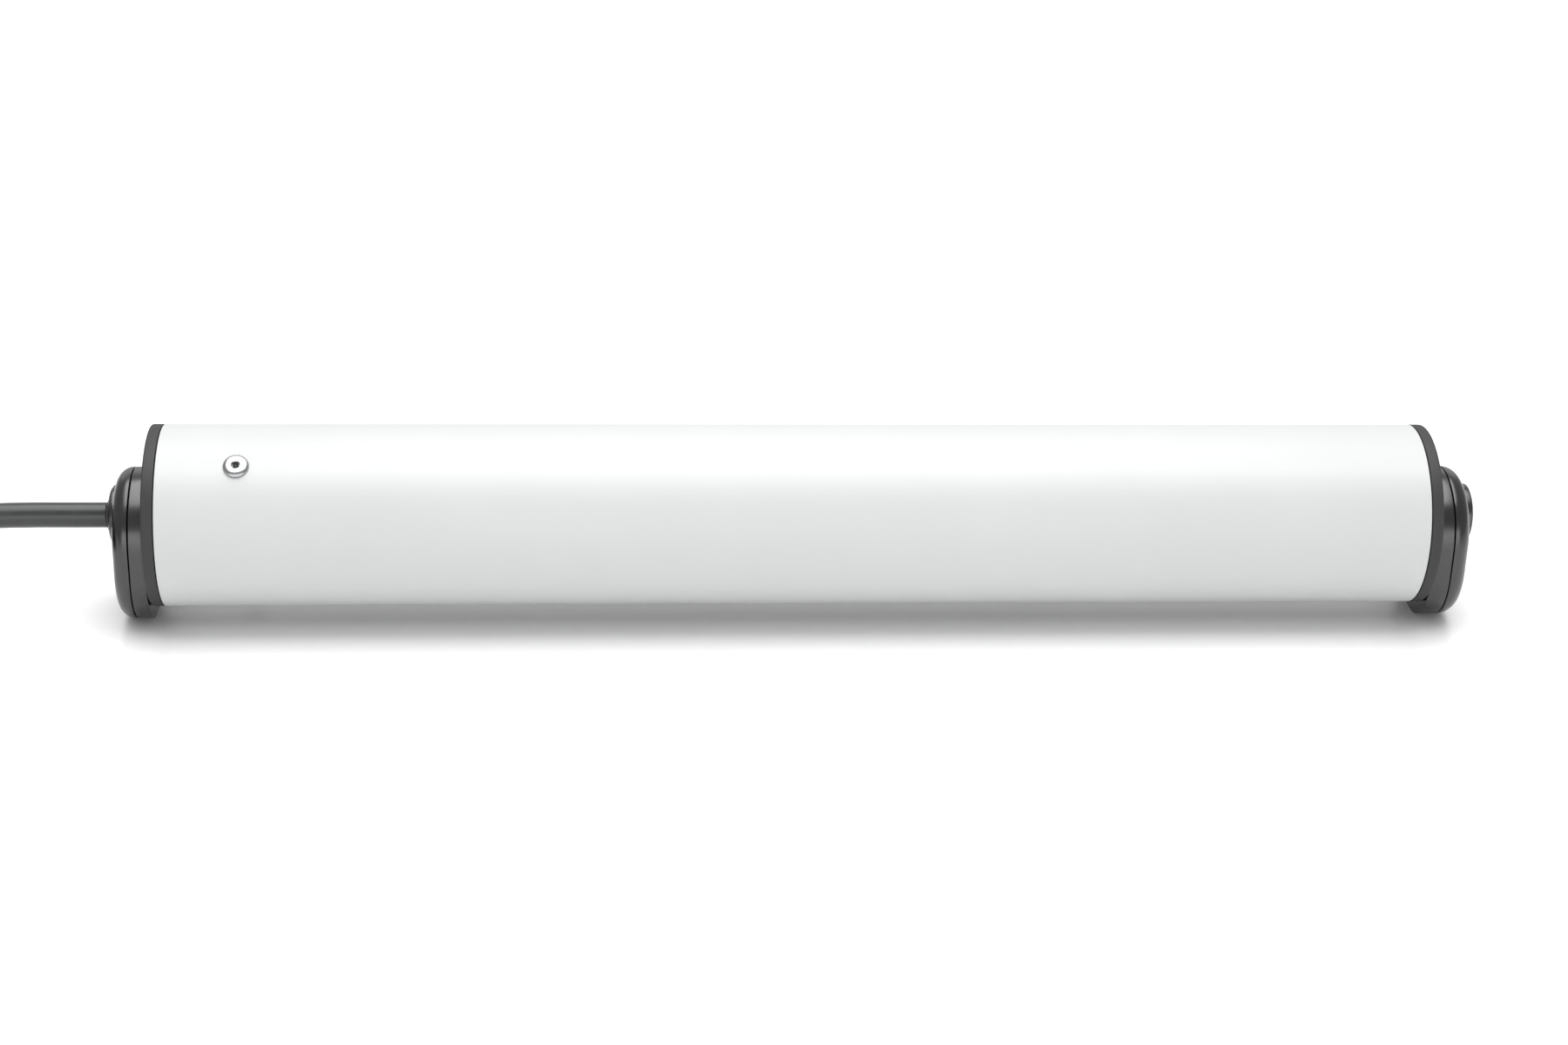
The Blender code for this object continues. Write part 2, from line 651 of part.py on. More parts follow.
right_ring = turned(
    "right_end_ring",
    [
        (RING_FACE, AXLE_HEAD + 2 * RUNNING_GAP),
        *ring_rim,
        (RING_START, TUBE_RADIUS),
        (RING_START, SPIGOT_RADIUS),
        (TUBE_END - RING_SPIGOT, SPIGOT_RADIUS),
        (TUBE_END - RING_SPIGOT, SPIGOT_RADIUS - RING_WALL),
        (BEARING_START - BEARING_SHOULDER, SPIGOT_RADIUS - RING_WALL),
        (BEARING_START - BEARING_SHOULDER, BEARING_SEAT),
        (RING_FACE - BEARING_INSET + GAP, BEARING_SEAT),
        (RING_FACE - BEARING_INSET + GAP, AXLE_HEAD + 2 * RUNNING_GAP),
    ],
    BLACK_MATT,
    40,
)


def radial(mesh, angle, radius):
    """Turns a mesh made along +Z, so that it points out of the tube at that angle."""
    for vert in mesh.vertices:
        x, y, z = vert.co
        reach = radius + z
        vert.co = (
            -TUBE_END + RIVET_FROM_END + x,
            reach * math.cos(angle) + y * math.sin(angle),
            reach * math.sin(angle) - y * math.cos(angle),
        )
    return mesh


def rivet_mesh(name, profile, segments=14):
    """A small turned solid along +Z, from (z, radius) points with both ends on the axis."""
    mesh = bpy.data.meshes.new(name)
    work = bmesh.new()
    line = [work.verts.new((r, 0, z)) for z, r in profile]
    edges = [work.edges.new(pair) for pair in zip(line, line[1:])]
    bmesh.ops.spin(
        work, geom=line + edges, axis=(0, 0, 1), cent=(0, 0, 0), angle=2 * math.pi, steps=segments
    )
    bmesh.ops.remove_doubles(work, verts=work.verts, dist=0.000005)
    bmesh.ops.dissolve_degenerate(work, edges=work.edges, dist=0.000001)
    bmesh.ops.recalc_face_normals(work, faces=work.faces)
    work.to_mesh(mesh)
    work.free()
    return mesh


HEAD_BOTTOM = math.sqrt(TUBE_RADIUS**2 - RIVET_HEAD**2) - TUBE_RADIUS + 2 * GAP
for number, angle in ((1, RIVET_ANGLE), (2, RIVET_ANGLE + math.pi)):
    head = [
        (
            HEAD_BOTTOM + (RIVET_RISE - HEAD_BOTTOM) * math.sin(math.pi / 2 * i / 5),
            RIVET_BORE + (RIVET_HEAD - RIVET_BORE) * math.cos(math.pi / 2 * i / 5),
        )
        for i in range(6)
    ]
    shank_end = -(TUBE_WALL + RING_WALL) - GAP
    profile = [
        (shank_end, 0),
        (shank_end, RIVET_SHANK),
        (GAP, RIVET_SHANK),
        (GAP, RIVET_SHANK + GAP),
        *head,
        (RIVET_RISE - RIVET_BORE_DEPTH, RIVET_BORE),
        (RIVET_RISE - RIVET_BORE_DEPTH, 0),
    ]
    name = f"tube_rivet_{number}"
    place(name, radial(rivet_mesh(name, profile), angle, TUBE_RADIUS), ZINC)
    low, high, hole = -RIVET_DRILL, RIVET_DRILL / 2, RIVET_SHANK + GAP
    drill = rivet_mesh(f"{name}_hole", [(low, 0), (low, hole), (high, hole), (high, 0)])
    tool = hide(f"{name}_hole", radial(drill, angle, TUBE_RADIUS))
    combine(tube, tool)
    combine(left_ring, tool)

# The limit switch drive: crown, pinion with its spindle, cams, switches and board.
flat(
    "limit_crown",
    [circle(CROWN_SEAT - GAP, 32), gear(CROWN_TEETH, CROWN_MODULE, internal=True)],
    CROWN_START,
    CROWN_END,
    GREY_PLASTIC,
    turn=math.radians(90),
)
PINION_TURN = math.radians(90) + math.pi / PINION_TEETH
pinion_at = (0, PINION_ORBIT)
flat(
    "limit_pinion",
    [gear(PINION_TEETH, CROWN_MODULE), circle(SPINDLE_RADIUS + GAP, 16)],
    CROWN_START + GAP,
    CROWN_END - GAP,
    WHITE_PLASTIC,
    pinion_at,
    PINION_TURN,
)
turned("limit_spindle", disc(SPINDLE_START, SPINDLE_END, SPINDLE_RADIUS), STEEL, 16, pinion_at)
for number, word in enumerate(("up", "down")):
    start = CAM_START + number * CAM_SPACING
    lobe = [
        (r * math.cos(a), r * math.sin(a))
        for a, r in (
            (2 * math.pi * i / 24, CAM_RADIUS * (1 if 2 <= i <= 4 else CAM_BASE)) for i in range(24)
        )
    ]
    flat(
        f"limit_cam_{word}",
        [lobe, circle(SPINDLE_RADIUS + GAP, 16)],
        start,
        start + CAM_WIDTH,
        WHITE_PLASTIC,
        pinion_at,
        math.pi * number,
    )
    top = PINION_ORBIT - CAM_RADIUS - RUNNING_GAP
    box(
        f"limit_switch_{word}",
        (start, -SWITCH_WIDTH / 2, top - SWITCH_HEIGHT),
        (start + CAM_WIDTH, SWITCH_WIDTH / 2, top),
        BLACK_MATT,
    )
board_top = PINION_ORBIT - CAM_RADIUS - RUNNING_GAP - SWITCH_HEIGHT - GAP
board_low = board_top - BOARD_THICKNESS
board_half = math.sqrt(HEAD_HOLLOW**2 - max(abs(board_top), abs(board_low)) ** 2) - 2 * GAP
box(
    "limit_board",
    (CAM_START - BOARD_MARGIN, -board_half, board_low),
    (HEAD_END - BOARD_MARGIN, board_half, board_top),
    BOARD_GREEN,
)

# The motor head: a boss in the left bracket, and a cup that holds the limit switches.
head_piece = turned(
    "motor_head",
    [
        (-LEFT_SEAM + GAP, GROMMET_WAIST + GAP),
        (-LEFT_SEAM + GAP, HEAD_BOSS),
        (HEAD_START, HEAD_BOSS),
        (HEAD_START, CASE_RADIUS),
        (HEAD_SHOULDER - GAP, CASE_RADIUS),
        (HEAD_SHOULDER - GAP, INSIDE_CASE),
        (HEAD_END, INSIDE_CASE),
        (HEAD_END, HEAD_HOLLOW),
        (HEAD_START + HEAD_FLOOR, HEAD_HOLLOW),
        (HEAD_START + HEAD_FLOOR, GROMMET_WAIST + GAP),
    ],
    GREY_PLASTIC,
    40,
)
pinion_pocket = cutter(
    "pinion_pocket",
    CROWN_START,
    HEAD_SHOULDER,
    CROWN_MODULE * (PINION_TEETH / 2 + ADDENDUM) + GAP,
    pinion_at,
    32,
)
combine(head_piece, pinion_pocket)

ADJUSTER_END = HEAD_START + HEAD_FLOOR + ADJUSTER_BEYOND
for word, angle in (("up", math.pi + ADJUSTER_ANGLE), ("down", -ADJUSTER_ANGLE)):
    at = (ADJUSTER_PLACE * math.cos(angle), ADJUSTER_PLACE * math.sin(angle))
    face = -LEFT_FACE + ADJUSTER_RECESS
    name = f"limit_adjuster_{word}"
    screw = turned(
        name,
        [
            (face, 0),
            (face, ADJUSTER_HEAD),
            (face + ADJUSTER_HEAD_LENGTH, ADJUSTER_HEAD),
            (face + ADJUSTER_HEAD_LENGTH, ADJUSTER_SHANK),
            (ADJUSTER_END, ADJUSTER_SHANK),
            (ADJUSTER_END, 0),
        ],
        WHITE_PLASTIC,
        16,
        at,
    )
    combine(screw, hide(f"{name}_slot", slot_mesh(face, ADJUSTER_HEAD), screw.location))
    way = cutter(f"{name}_way", -LEFT_FACE - GAP, -LEFT_SEAM, ADJUSTER_HEAD + GAP, at)
    combine(left_cover, way)
    bore = cutter(f"{name}_bore", -LEFT_SEAM - GAP, ADJUSTER_END, ADJUSTER_SHANK + GAP, at)
    combine(left_base, bore)
    combine(head_piece, bore)

# The motor: case, capacitor, end shield, stator, windings, rotor on its shaft.
turned("motor_case", disc(HEAD_SHOULDER, GEARBOX_END, CASE_RADIUS, CASE_BORE), ZINC, 32)
turned("capacitor", disc(CAPACITOR_START, CAPACITOR_END, CAPACITOR_RADIUS), GREY_PLASTIC, 24)
shaft_hole = SHAFT_RADIUS + GAP
turned(
    "motor_end_shield",
    disc(SHIELD_START, SHIELD_START + SHIELD_THICKNESS, INSIDE_CASE, shaft_hole),
    GREY_PLASTIC,
    20,
)
turned("stator_core", disc(STATOR_START, STATOR_END, INSIDE_CASE, STATOR_BORE), IRON, 24)


def winding(name, start):
    """The end turns of the stator's winding: a ring with rounded sides."""
    inner, outer = STATOR_BORE + WINDING_INSIDE, INSIDE_CASE - WINDING_OUTSIDE
    middle, half = (inner + outer) / 2, (outer - inner) / 2
    profile = [
        (
            start + WINDING_LENGTH / 2 * (1 - math.cos(2 * math.pi * i / 8)),
            middle + half * math.sin(2 * math.pi * i / 8),
        )
        for i in range(8)
    ]
    turned(name, profile, COPPER, 24)


winding("stator_winding_left", WINDING_1)
winding("stator_winding_right", WINDING_2)
turned(
    "rotor_core",
    disc(STATOR_START, STATOR_END, STATOR_BORE - AIR_GAP, SHAFT_RADIUS + GAP),
    IRON,
    20,
)

# The brake: coil, sliding armature, disc on the shaft, and the plate it is pressed against.
turned(
    "brake_coil",
    disc(BRAKE_COIL, BRAKE_COIL + BRAKE_COIL_LENGTH, INSIDE_CASE, BRAKE_BORE),
    COPPER,
    20,
)
turned(
    "brake_armature",
    disc(ARMATURE_START, ARMATURE_START + ARMATURE, INSIDE_CASE - SIDE_GAP, BRAKE_BORE),
    STEEL,
    20,
)
turned(
    "brake_disc",
    disc(BRAKE_DISC_START, BRAKE_DISC_START + BRAKE_DISC, INSIDE_CASE - SIDE_GAP, shaft_hole),
    FRICTION,
    20,
)
turned(
    "brake_plate",
    disc(BRAKE_PLATE, BRAKE_PLATE + SHIELD_THICKNESS, INSIDE_CASE, shaft_hole),
    STEEL,
    20,
)

# The two planetary stages.
sun_outline = gear(SUN_TEETH, GEAR_MODULE)
planet_outline = gear(PLANET_TEETH, GEAR_MODULE)
flat(
    "gear_ring",
    [circle(INSIDE_CASE, 32), gear(GEAR_RING_TEETH, GEAR_MODULE, internal=True)],
    GEARBOX_START,
    GEARBOX_END - GAP,
    GREY_PLASTIC,
)
shaft = flat("motor_shaft", [sun_outline], STAGE_1, CARRIER_1 - SIDE_GAP, STEEL)
rod = hide(
    "motor_shaft_rod",
    rod_mesh(SHIELD_START - SHAFT_BEYOND, STAGE_1 + SHAFT_BEYOND, SHAFT_RADIUS, 16),
)
combine(shaft, rod, "UNION")
planet_places = [
    (PLANET_ORBIT * math.cos(a), PLANET_ORBIT * math.sin(a))
    for a in (0, 2 * math.pi / 3, 4 * math.pi / 3)
]


def stage(number, start, face):
    """The three planets of a stage, in mesh with its sun and with the ring."""
    for i, at in enumerate(planet_places):
        turn = planet_turn(2 * math.pi / 3 * i, SUN_TEETH, PLANET_TEETH)
        flat(
            f"planet_{number}_{i + 1}",
            [planet_outline, circle(PIN_RADIUS + GAP, 8)],
            start,
            start + face,
            STEEL,
            at,
            turn,
        )


def carrier(name, start, pins_from, extra):
    """A planet carrier: a disc with three pins to its left, joined with what is in extra."""
    made = turned(
        name,
        disc(start, start + CARRIER_THICKNESS, PLANET_ORBIT + CARRIER_RIM),
        STEEL,
        20,
    )
    for i, at in enumerate(planet_places):
        pin = rod_mesh(pins_from, start + JOIN, PIN_RADIUS, 12, at)
        combine(made, hide(f"{name}_pin_{i + 1}", pin, made.location), "UNION")
    combine(made, extra, "UNION")
    return made


stage(1, STAGE_1, STAGE_1_FACE)
stage(2, STAGE_2, STAGE_2_FACE)
sun_2 = hide(
    "carrier_1_sun",
    flat_mesh(
        "carrier_1_sun", [sun_outline], CARRIER_1 + CARRIER_THICKNESS - JOIN, CARRIER_2 - SIDE_GAP
    ),
)
carrier("carrier_1", CARRIER_1, STAGE_1 + SIDE_GAP, sun_2)
output = hide(
    "output_shaft",
    rod_mesh(CARRIER_2 + CARRIER_THICKNESS - JOIN, DRIVE_END - SHAFT_BEYOND, OUTPUT_SHAFT),
)
carrier("output_carrier", CARRIER_2, STAGE_2 + SIDE_GAP, output)
turned(
    "gearbox_flange",
    [
        (GEARBOX_END + GAP, OUTPUT_SHAFT + GAP),
        (GEARBOX_END + GAP, CASE_RADIUS),
        (GEARBOX_END + GAP + GEARBOX_FLANGE - FLANGE_CHAMFER, CASE_RADIUS),
        (GEARBOX_END + GAP + GEARBOX_FLANGE, CASE_RADIUS - FLANGE_CHAMFER),
        (GEARBOX_END + GAP + GEARBOX_FLANGE, OUTPUT_SHAFT + GAP),
    ],
    ZINC,
    24,
)

# The drive wheel, with grooves along its rim.
wheel = []
for i in range(60):
    angle = 2 * math.pi * i / 60
    in_groove = i % (60 // DRIVE_WHEEL_GROOVES) < 3
    reach = SPIGOT_RADIUS - (GROOVE_DEPTH if in_groove else 0)
    wheel.append((reach * math.cos(angle), reach * math.sin(angle)))
flat(
    "drive_wheel",
    [wheel, circle(OUTPUT_SHAFT + GAP, 24)],
    DRIVE_START,
    DRIVE_END,
    BLACK_MATT,
)

# The idler end: an axle held in the right bracket, in a bearing in the right ring.
turned(
    "bearing_outer_ring",
    disc(BEARING_START, BEARING_START + BEARING_WIDTH, BEARING_OUTER, BEARING_OUTER - BEARING_RACE),
    STEEL,
    24,
)
turned(
    "bearing_inner_ring",
    disc(BEARING_START, BEARING_START + BEARING_WIDTH, BEARING_BORE + BEARING_RACE, BEARING_BORE),
    STEEL,
    20,
)
turned(
    "idler_axle",
    [
        (BEARING_START - AXLE_END, 0),
        (BEARING_START - AXLE_END, AXLE_RADIUS - AXLE_CHAMFER),
        (BEARING_START - AXLE_END + AXLE_CHAMFER, AXLE_RADIUS),
        (BEARING_START + BEARING_WIDTH + GAP, AXLE_RADIUS),
        (BEARING_START + BEARING_WIDTH + GAP, AXLE_HEAD),
        (BASE_FACE - GAP, AXLE_HEAD),
        (BASE_FACE - GAP, AXLE_RADIUS),
        (RIGHT_FACE - BOSS_SPIGOT_DEPTH - GAP, AXLE_RADIUS),
        (RIGHT_FACE - BOSS_SPIGOT_DEPTH - GAP, 0),
    ],
    ZINC,
    24,
)


# The cable: the run from the outlet, the coil, the tail and its four cores.

def smooth_line(points, step):
    """Points about a step apart on a smooth curve through the given ones."""
    points = [Vector(p) * MM for p in points]
    first, last = points[0] * 2 - points[1], points[-1] * 2 - points[-2]
    padded = [first, *points, last]
    line = [points[0]]
    for a, b, c, d in zip(padded, padded[1:], padded[2:], padded[3:]):
        count = max(1, round((c - b).length / step))
        for i in range(1, count + 1):
            t = i / count
            line.append(
                0.5
                * (
                    2 * b
                    + (c - a) * t
                    + (2 * a - 5 * b + 4 * c - d) * t**2
                    + (3 * b - a - 3 * c + d) * t**3
                )
            )
    return line


def cable(name, points, radius, material, resolution=3):
    """A round cable along the points, with filled ends."""
    curve = bpy.data.curves.new(name, "CURVE")
    curve.dimensions = "3D"
    curve.bevel_depth = radius
    curve.bevel_resolution = resolution
    curve.use_fill_caps = True
    spline = curve.splines.new("POLY")
    line = smooth_line(points, 5 * radius)
    spline.points.add(len(line) - 1)
    for point, co in zip(spline.points, line):
        point.co = (*co, 1)
    made = bpy.data.objects.new(name, curve)
    curve.materials.append(material)
    parts.objects.link(made)


cable("cable_run", CABLE_ROUTE, CABLE_RADIUS, CABLE_SHEATH)
centre_x, centre_y = COIL_CENTRE.x / MM, COIL_CENTRE.y / MM
tail = [(centre_x + x, centre_y + y, z) for x, y, z in TAIL_ROUTE]
cable("cable_tail", tail, CABLE_RADIUS, CABLE_SHEATH)
along, across = math.cos(TAIL_HEADING), math.sin(TAIL_HEADING)
for name, route in CORE_ROUTES.items():
    points = [
        (
            tail[-1][0] + ahead * along + right * across,
            tail[-1][1] + ahead * across - right * along,
            z,
        )
        for right, ahead, z in route
    ]
    cable(name, points, CORE_RADIUS, CORE_COLOURS[name], 2)

coil_mesh = bpy.data.meshes.new("cable_coil")
coil_half = COIL_COLUMNS * CABLE_RADIUS
coil_top = COIL_LAYERS * 2 * CABLE_RADIUS
corner = CABLE_RADIUS * 0.6
coil_profile = [
    (COIL_MIDDLE + side_r * (coil_half - cut_r), z)
    for side_r, cut_r, z in (
        (1, corner, coil_top),
        (1, 0, coil_top - corner),
        (1, 0, corner),
        (1, corner, 0),
        (-1, corner, 0),
        (-1, 0, corner),
        (-1, 0, coil_top - corner),
        (-1, corner, coil_top),
    )
]
coil_mesh.from_pydata(
    [(r, 0, z) for r, z in coil_profile], [(i, (i + 1) % 8) for i in range(8)], []
)
coil_mesh.materials.append(CABLE_SHEATH)
coil = bpy.data.objects.new("cable_coil", coil_mesh)
coil.location = COIL_CENTRE
parts.objects.link(coil)
coil_spin = coil.modifiers.new("turn", "SCREW")
coil_spin.steps = coil_spin.render_steps = 32
coil_spin.use_merge_vertices = True
coil_spin.merge_threshold = 0.00001
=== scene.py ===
# %% [markdown]
# # A roller shutter motor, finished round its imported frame
#
# The engineering model already holds every part at its true size, as plain faceted solids.
# This lesson gives each part the surface and the finish of the real thing: a satin aluminium
# tube, black moulded rings and brackets, a blind rivet, and a mains cable at its full length.
# Everything is in metres, and every position is read from the frame.

# %% Load the frame
import json
import math

import bmesh
import bpy
import numpy as np
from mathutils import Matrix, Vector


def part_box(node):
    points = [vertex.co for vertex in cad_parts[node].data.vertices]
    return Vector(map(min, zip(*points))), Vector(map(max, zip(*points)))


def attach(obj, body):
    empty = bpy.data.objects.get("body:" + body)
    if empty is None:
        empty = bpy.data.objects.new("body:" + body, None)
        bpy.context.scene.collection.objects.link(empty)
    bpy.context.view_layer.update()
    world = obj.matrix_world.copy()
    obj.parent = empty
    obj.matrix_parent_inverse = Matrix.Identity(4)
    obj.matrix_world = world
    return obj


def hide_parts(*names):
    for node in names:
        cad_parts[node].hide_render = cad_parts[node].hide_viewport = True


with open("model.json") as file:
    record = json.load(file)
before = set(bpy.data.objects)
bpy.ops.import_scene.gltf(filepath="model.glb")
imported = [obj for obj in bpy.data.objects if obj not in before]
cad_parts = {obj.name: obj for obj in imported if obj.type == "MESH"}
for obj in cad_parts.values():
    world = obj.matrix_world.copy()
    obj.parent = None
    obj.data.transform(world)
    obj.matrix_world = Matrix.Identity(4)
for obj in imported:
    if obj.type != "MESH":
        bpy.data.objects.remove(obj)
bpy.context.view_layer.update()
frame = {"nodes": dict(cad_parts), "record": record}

mm = 0.001

# %% [markdown]
# ## Sizes that the frame gives
#
# A piece that fits another takes its size from it. Reading the boxes of a few solids gives
# the tube's axis, its radius, and the stations along it where one piece ends and the next
# begins. Working from these, and not from typed numbers, keeps the two models together.

# %% Read the stations along the tube
tube_low, tube_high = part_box("roller_tube")
axis_z = (tube_low[2] + tube_high[2]) / 2
tube_r = (tube_high[1] - tube_low[1]) / 2
tube_end = tube_high[0]
ring_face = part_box("right_end_ring")[1][0]
base_low, base_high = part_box("right_bracket_base")
bracket_r = (base_high[1] - base_low[1]) / 2
bracket_top = base_high[2] - axis_z
boss_r = (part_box("right_axle_cap")[1][1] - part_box("right_axle_cap")[0][1]) / 2


def across(name):
    """Where a node begins and ends, measured outwards from mid-length on its own side."""
    low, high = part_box(name)
    return sorted((abs(low[0]), abs(high[0])))


station = {
    side: {
        "base": across(f"{word}_bracket_base"),
        "cover": across(f"{word}_bracket_cover"),
        "boss": across(boss)[1],
    }
    for side, word, boss in ((-1, "left", "left_outlet_boss"), (1, "right", "right_axle_cap"))
}
boss_face = station[-1]["boss"]
print(f"axis {axis_z / mm:.1f} mm up, tube radius {tube_r / mm:.1f} mm, end at {tube_end / mm:.1f} mm")

# %% [markdown]
# ## From arrays to meshes
#
# Every new surface here is a grid of points, worked out as one numpy array with rows and
# columns. One function turns any such grid into a mesh. Where the grid closes on itself the
# last row or column joins the first, and points that fall together, as at a pole, are merged.


# %% A grid of points becomes a mesh object
def grid_object(name, points, close_rows=False, close_columns=True, sharp=32.0):
    """Joins points[row, column] to their neighbours with four-sided faces."""
    rows, columns = points.shape[:2]
    a, b = np.meshgrid(
        np.arange(rows if close_rows else rows - 1),
        np.arange(columns if close_columns else columns - 1),
        indexing="ij",
    )
    c, d = (a + 1) % rows, (b + 1) % columns
    faces = np.stack([a * columns + b, a * columns + d, c * columns + d, c * columns + b], -1)
    mesh = bpy.data.meshes.new(name)
    mesh.vertices.add(rows * columns)
    mesh.vertices.foreach_set("co", points.reshape(-1))
    mesh.loops.add(faces.size)
    mesh.loops.foreach_set("vertex_index", faces.reshape(-1).astype(np.int32))
    mesh.polygons.add(faces.size // 4)
    mesh.polygons.foreach_set("loop_start", np.arange(0, faces.size, 4, dtype=np.int32))
    mesh.update(calc_edges=True)
    along = np.stack([a, a, a + 1, a + 1], -1) / max(rows - 1, 1)
    round_it = np.stack([b, b + 1, b + 1, b], -1) / columns
    uv = np.stack([along, round_it], -1).astype(np.float32)
    mesh.uv_layers.new(name="UVMap").data.foreach_set("uv", uv.reshape(-1))
    made = bpy.data.objects.new(name, mesh)
    bpy.context.scene.collection.objects.link(made)
    close_up(made, sharp)
    return made


def close_up(made, sharp=32.0):
    """Merges points that fall together, turns the faces outwards and smooths all but sharp edges."""
    work = bmesh.new()
    work.from_mesh(made.data)
    bmesh.ops.remove_doubles(work, verts=work.verts, dist=0.000002)
    bmesh.ops.dissolve_degenerate(work, edges=work.edges, dist=0.0000005)
    bmesh.ops.recalc_face_normals(work, faces=work.faces)
    work.to_mesh(made.data)
    work.free()
    made.data.shade_smooth()
    made.data.set_sharp_from_angle(angle=math.radians(sharp))


def turned(name, profile, segments=160, centre=(0.0, None), closed=True, sharp=32.0):
    """A profile of (x, radius) turned about an axis along X: y = r cos a, z = r sin a."""
    line = np.array(profile, float)
    angle = np.linspace(0, 2 * math.pi, segments, endpoint=False)
    points = np.empty((len(line), segments, 3))
    points[..., 0] = line[:, :1]
    points[..., 1] = centre[0] + line[:, 1:] * np.cos(angle)
    points[..., 2] = (axis_z if centre[1] is None else centre[1]) + line[:, 1:] * np.sin(angle)
    return grid_object(name, points, close_rows=closed, sharp=sharp)


def arc(centre, radius, start, end, steps):
    """Points on a circle's arc in the (x, radius) plane, from start to end in degrees."""
    a = np.radians(np.linspace(start, end, steps + 1))
    return np.stack([centre[0] + radius * np.cos(a), centre[1] + radius * np.sin(a)], 1).tolist()


def report(*made):
    """Prints how many faces each piece has."""
    for piece in made:
        print(piece.name, len(piece.data.polygons), "faces")


# %% [markdown]
# ## A few helpers for materials
#
# Colours are written as sRGB hex, the way a designer reads them off a swatch, and one
# function makes them linear for the shader. Another adds any node, with its settings and
# its links, so that each material below reads as a short list of what it does.


# %% Colour and node helpers
def linear(code):
    """An sRGB hex colour as linear red, green, blue and alpha."""
    part = np.array([int(code[i : i + 2], 16) for i in (1, 3, 5)]) / 255
    part = np.where(part <= 0.04045, part / 12.92, ((part + 0.055) / 1.055) ** 2.4)
    return (*part.tolist(), 1.0)


def node(tree, kind, links=(), **settings):
    """Adds a node; settings are its properties, or its inputs when the name is one."""
    made = tree.nodes.new("ShaderNode" + kind)
    for key, value in settings.items():
        label = key.replace("_", " ").title() if key.islower() else key
        if label in made.inputs:
            made.inputs[label].default_value = value
        else:
            setattr(made, key, value)
    for source, target in links:
        tree.links.new(source, made.inputs[target])
    return made


def shader_of(name, colour, roughness, metallic=0.0, **inputs):
    """A new material with its Principled shader set; inputs are named as sockets."""
    made = bpy.data.materials.new(name)
    made.use_nodes = True
    tree = made.node_tree
    shader = tree.nodes["Principled BSDF"]
    shader.inputs["Base Color"].default_value = linear(colour)
    shader.inputs["Roughness"].default_value = roughness
    shader.inputs["Metallic"].default_value = metallic
    for key, value in inputs.items():
        shader.inputs[key.replace("_", " ")].default_value = value
    place = node(tree, "TexCoord")
    return made, tree, shader, place.outputs["Object"]


def grain(tree, place, size, detail=3.0, stretch=(1, 1, 1)):
    """Noise whose cells are about size across, stretched along an axis by its share."""
    scaled = node(tree, "Mapping", [(place, "Vector")])
    scaled.inputs["Scale"].default_value = [1 / (size * s) for s in stretch]
    return node(tree, "TexNoise", [(scaled.outputs[0], "Vector")], scale=1.0, detail=detail).outputs[0]


def spread(tree, value, low, high, start=0.3, end=0.7):
    """Maps a noise value to a range, for roughness or a mix."""
    made = node(tree, "MapRange", [(value, "Value")])
    for key, number in (("From Min", start), ("From Max", end), ("To Min", low), ("To Max", high)):
        made.inputs[key].default_value = number
    return made.outputs[0]


def tint(tree, shader, value, dark, light):
    """Colours the shader between two hex colours by a value."""
    ramp = node(tree, "ValToRGB", [(value, 0)])
    ramp.color_ramp.elements[0].color = linear(dark)
    ramp.color_ramp.elements[1].color = linear(light)
    ramp.color_ramp.elements[0].position = 0.3
    ramp.color_ramp.elements[1].position = 0.7
    tree.links.new(ramp.outputs[0], shader.inputs["Base Color"])


def relief(tree, shader, height, depth, strength=1.0):
    """Raises the surface by a height value, depth metres from 0 to 1."""
    bump = node(tree, "Bump", [(height, "Height")], strength=strength, distance=depth)
    tree.links.new(bump.outputs[0], shader.inputs["Normal"])


def wear(tree, shader, value, low, high):
    """Varies the roughness between two values."""
    tree.links.new(spread(tree, value, low, high), shader.inputs["Roughness"])


# %% [markdown]
# ## The tube's finish: satin anodised aluminium
#
# The tube is drawn aluminium, etched matt and anodised. The coating scatters most of the
# light, so the tube is an even pale grey with only a silky sheen on it. Drawing leaves faint
# lines along it: noise stretched a hundred times along X. The real lines are about 0.05 mm
# apart; they are drawn 0.25 mm apart so that they show at all.

# %% Satin anodised aluminium
anodised, tree, shader, place = shader_of("satin anodised aluminium", "#BDBEBE", 0.6, 0.05)
lines = grain(tree, place, 0.25 * mm, 2.0, (240, 1, 1))
clouds = grain(tree, place, 35 * mm)
tint(tree, shader, clouds, "#BCBDBD", "#BEBFBF")
wear(tree, shader, lines, 0.48, 0.56)
relief(tree, shader, lines, 0.004 * mm, 0.5)
print(anodised.name, len(tree.nodes), "nodes")

# %% [markdown]
# ## The brackets' finish: moulded nylon with a satin gloss
#
# The bracket shells are injection moulded in a polished tool, so they are black with a soft
# gloss. A mould leaves a faint orange peel of about a millimetre, and handling leaves the
# gloss a little uneven. The rings come from a spark-eroded tool and are matt: their grain
# is about 0.2 mm, and it scatters light to a dark grey.


# %% Black moulded plastics
satin_black, tree, shader, place = shader_of(
    "moulded nylon, satin black", "#0E0E0F", 0.24, Specular_IOR_Level=0.85
)
peel = grain(tree, place, 1.4 * mm)
smear = grain(tree, place, 9 * mm)
tint(tree, shader, smear, "#0D0D0E", "#121213")
wear(tree, shader, smear, 0.21, 0.29)
relief(tree, shader, peel, 0.012 * mm, 0.5)

matt_black, tree, shader, place = shader_of("moulded nylon, spark-eroded black", "#262627", 0.62)
sparks = grain(tree, place, 0.35 * mm, 4.0)
tint(tree, shader, sparks, "#222223", "#2C2C2D")
wear(tree, shader, sparks, 0.54, 0.68)
relief(tree, shader, sparks, 0.03 * mm, 0.7)
print(satin_black.name, "and", matt_black.name)

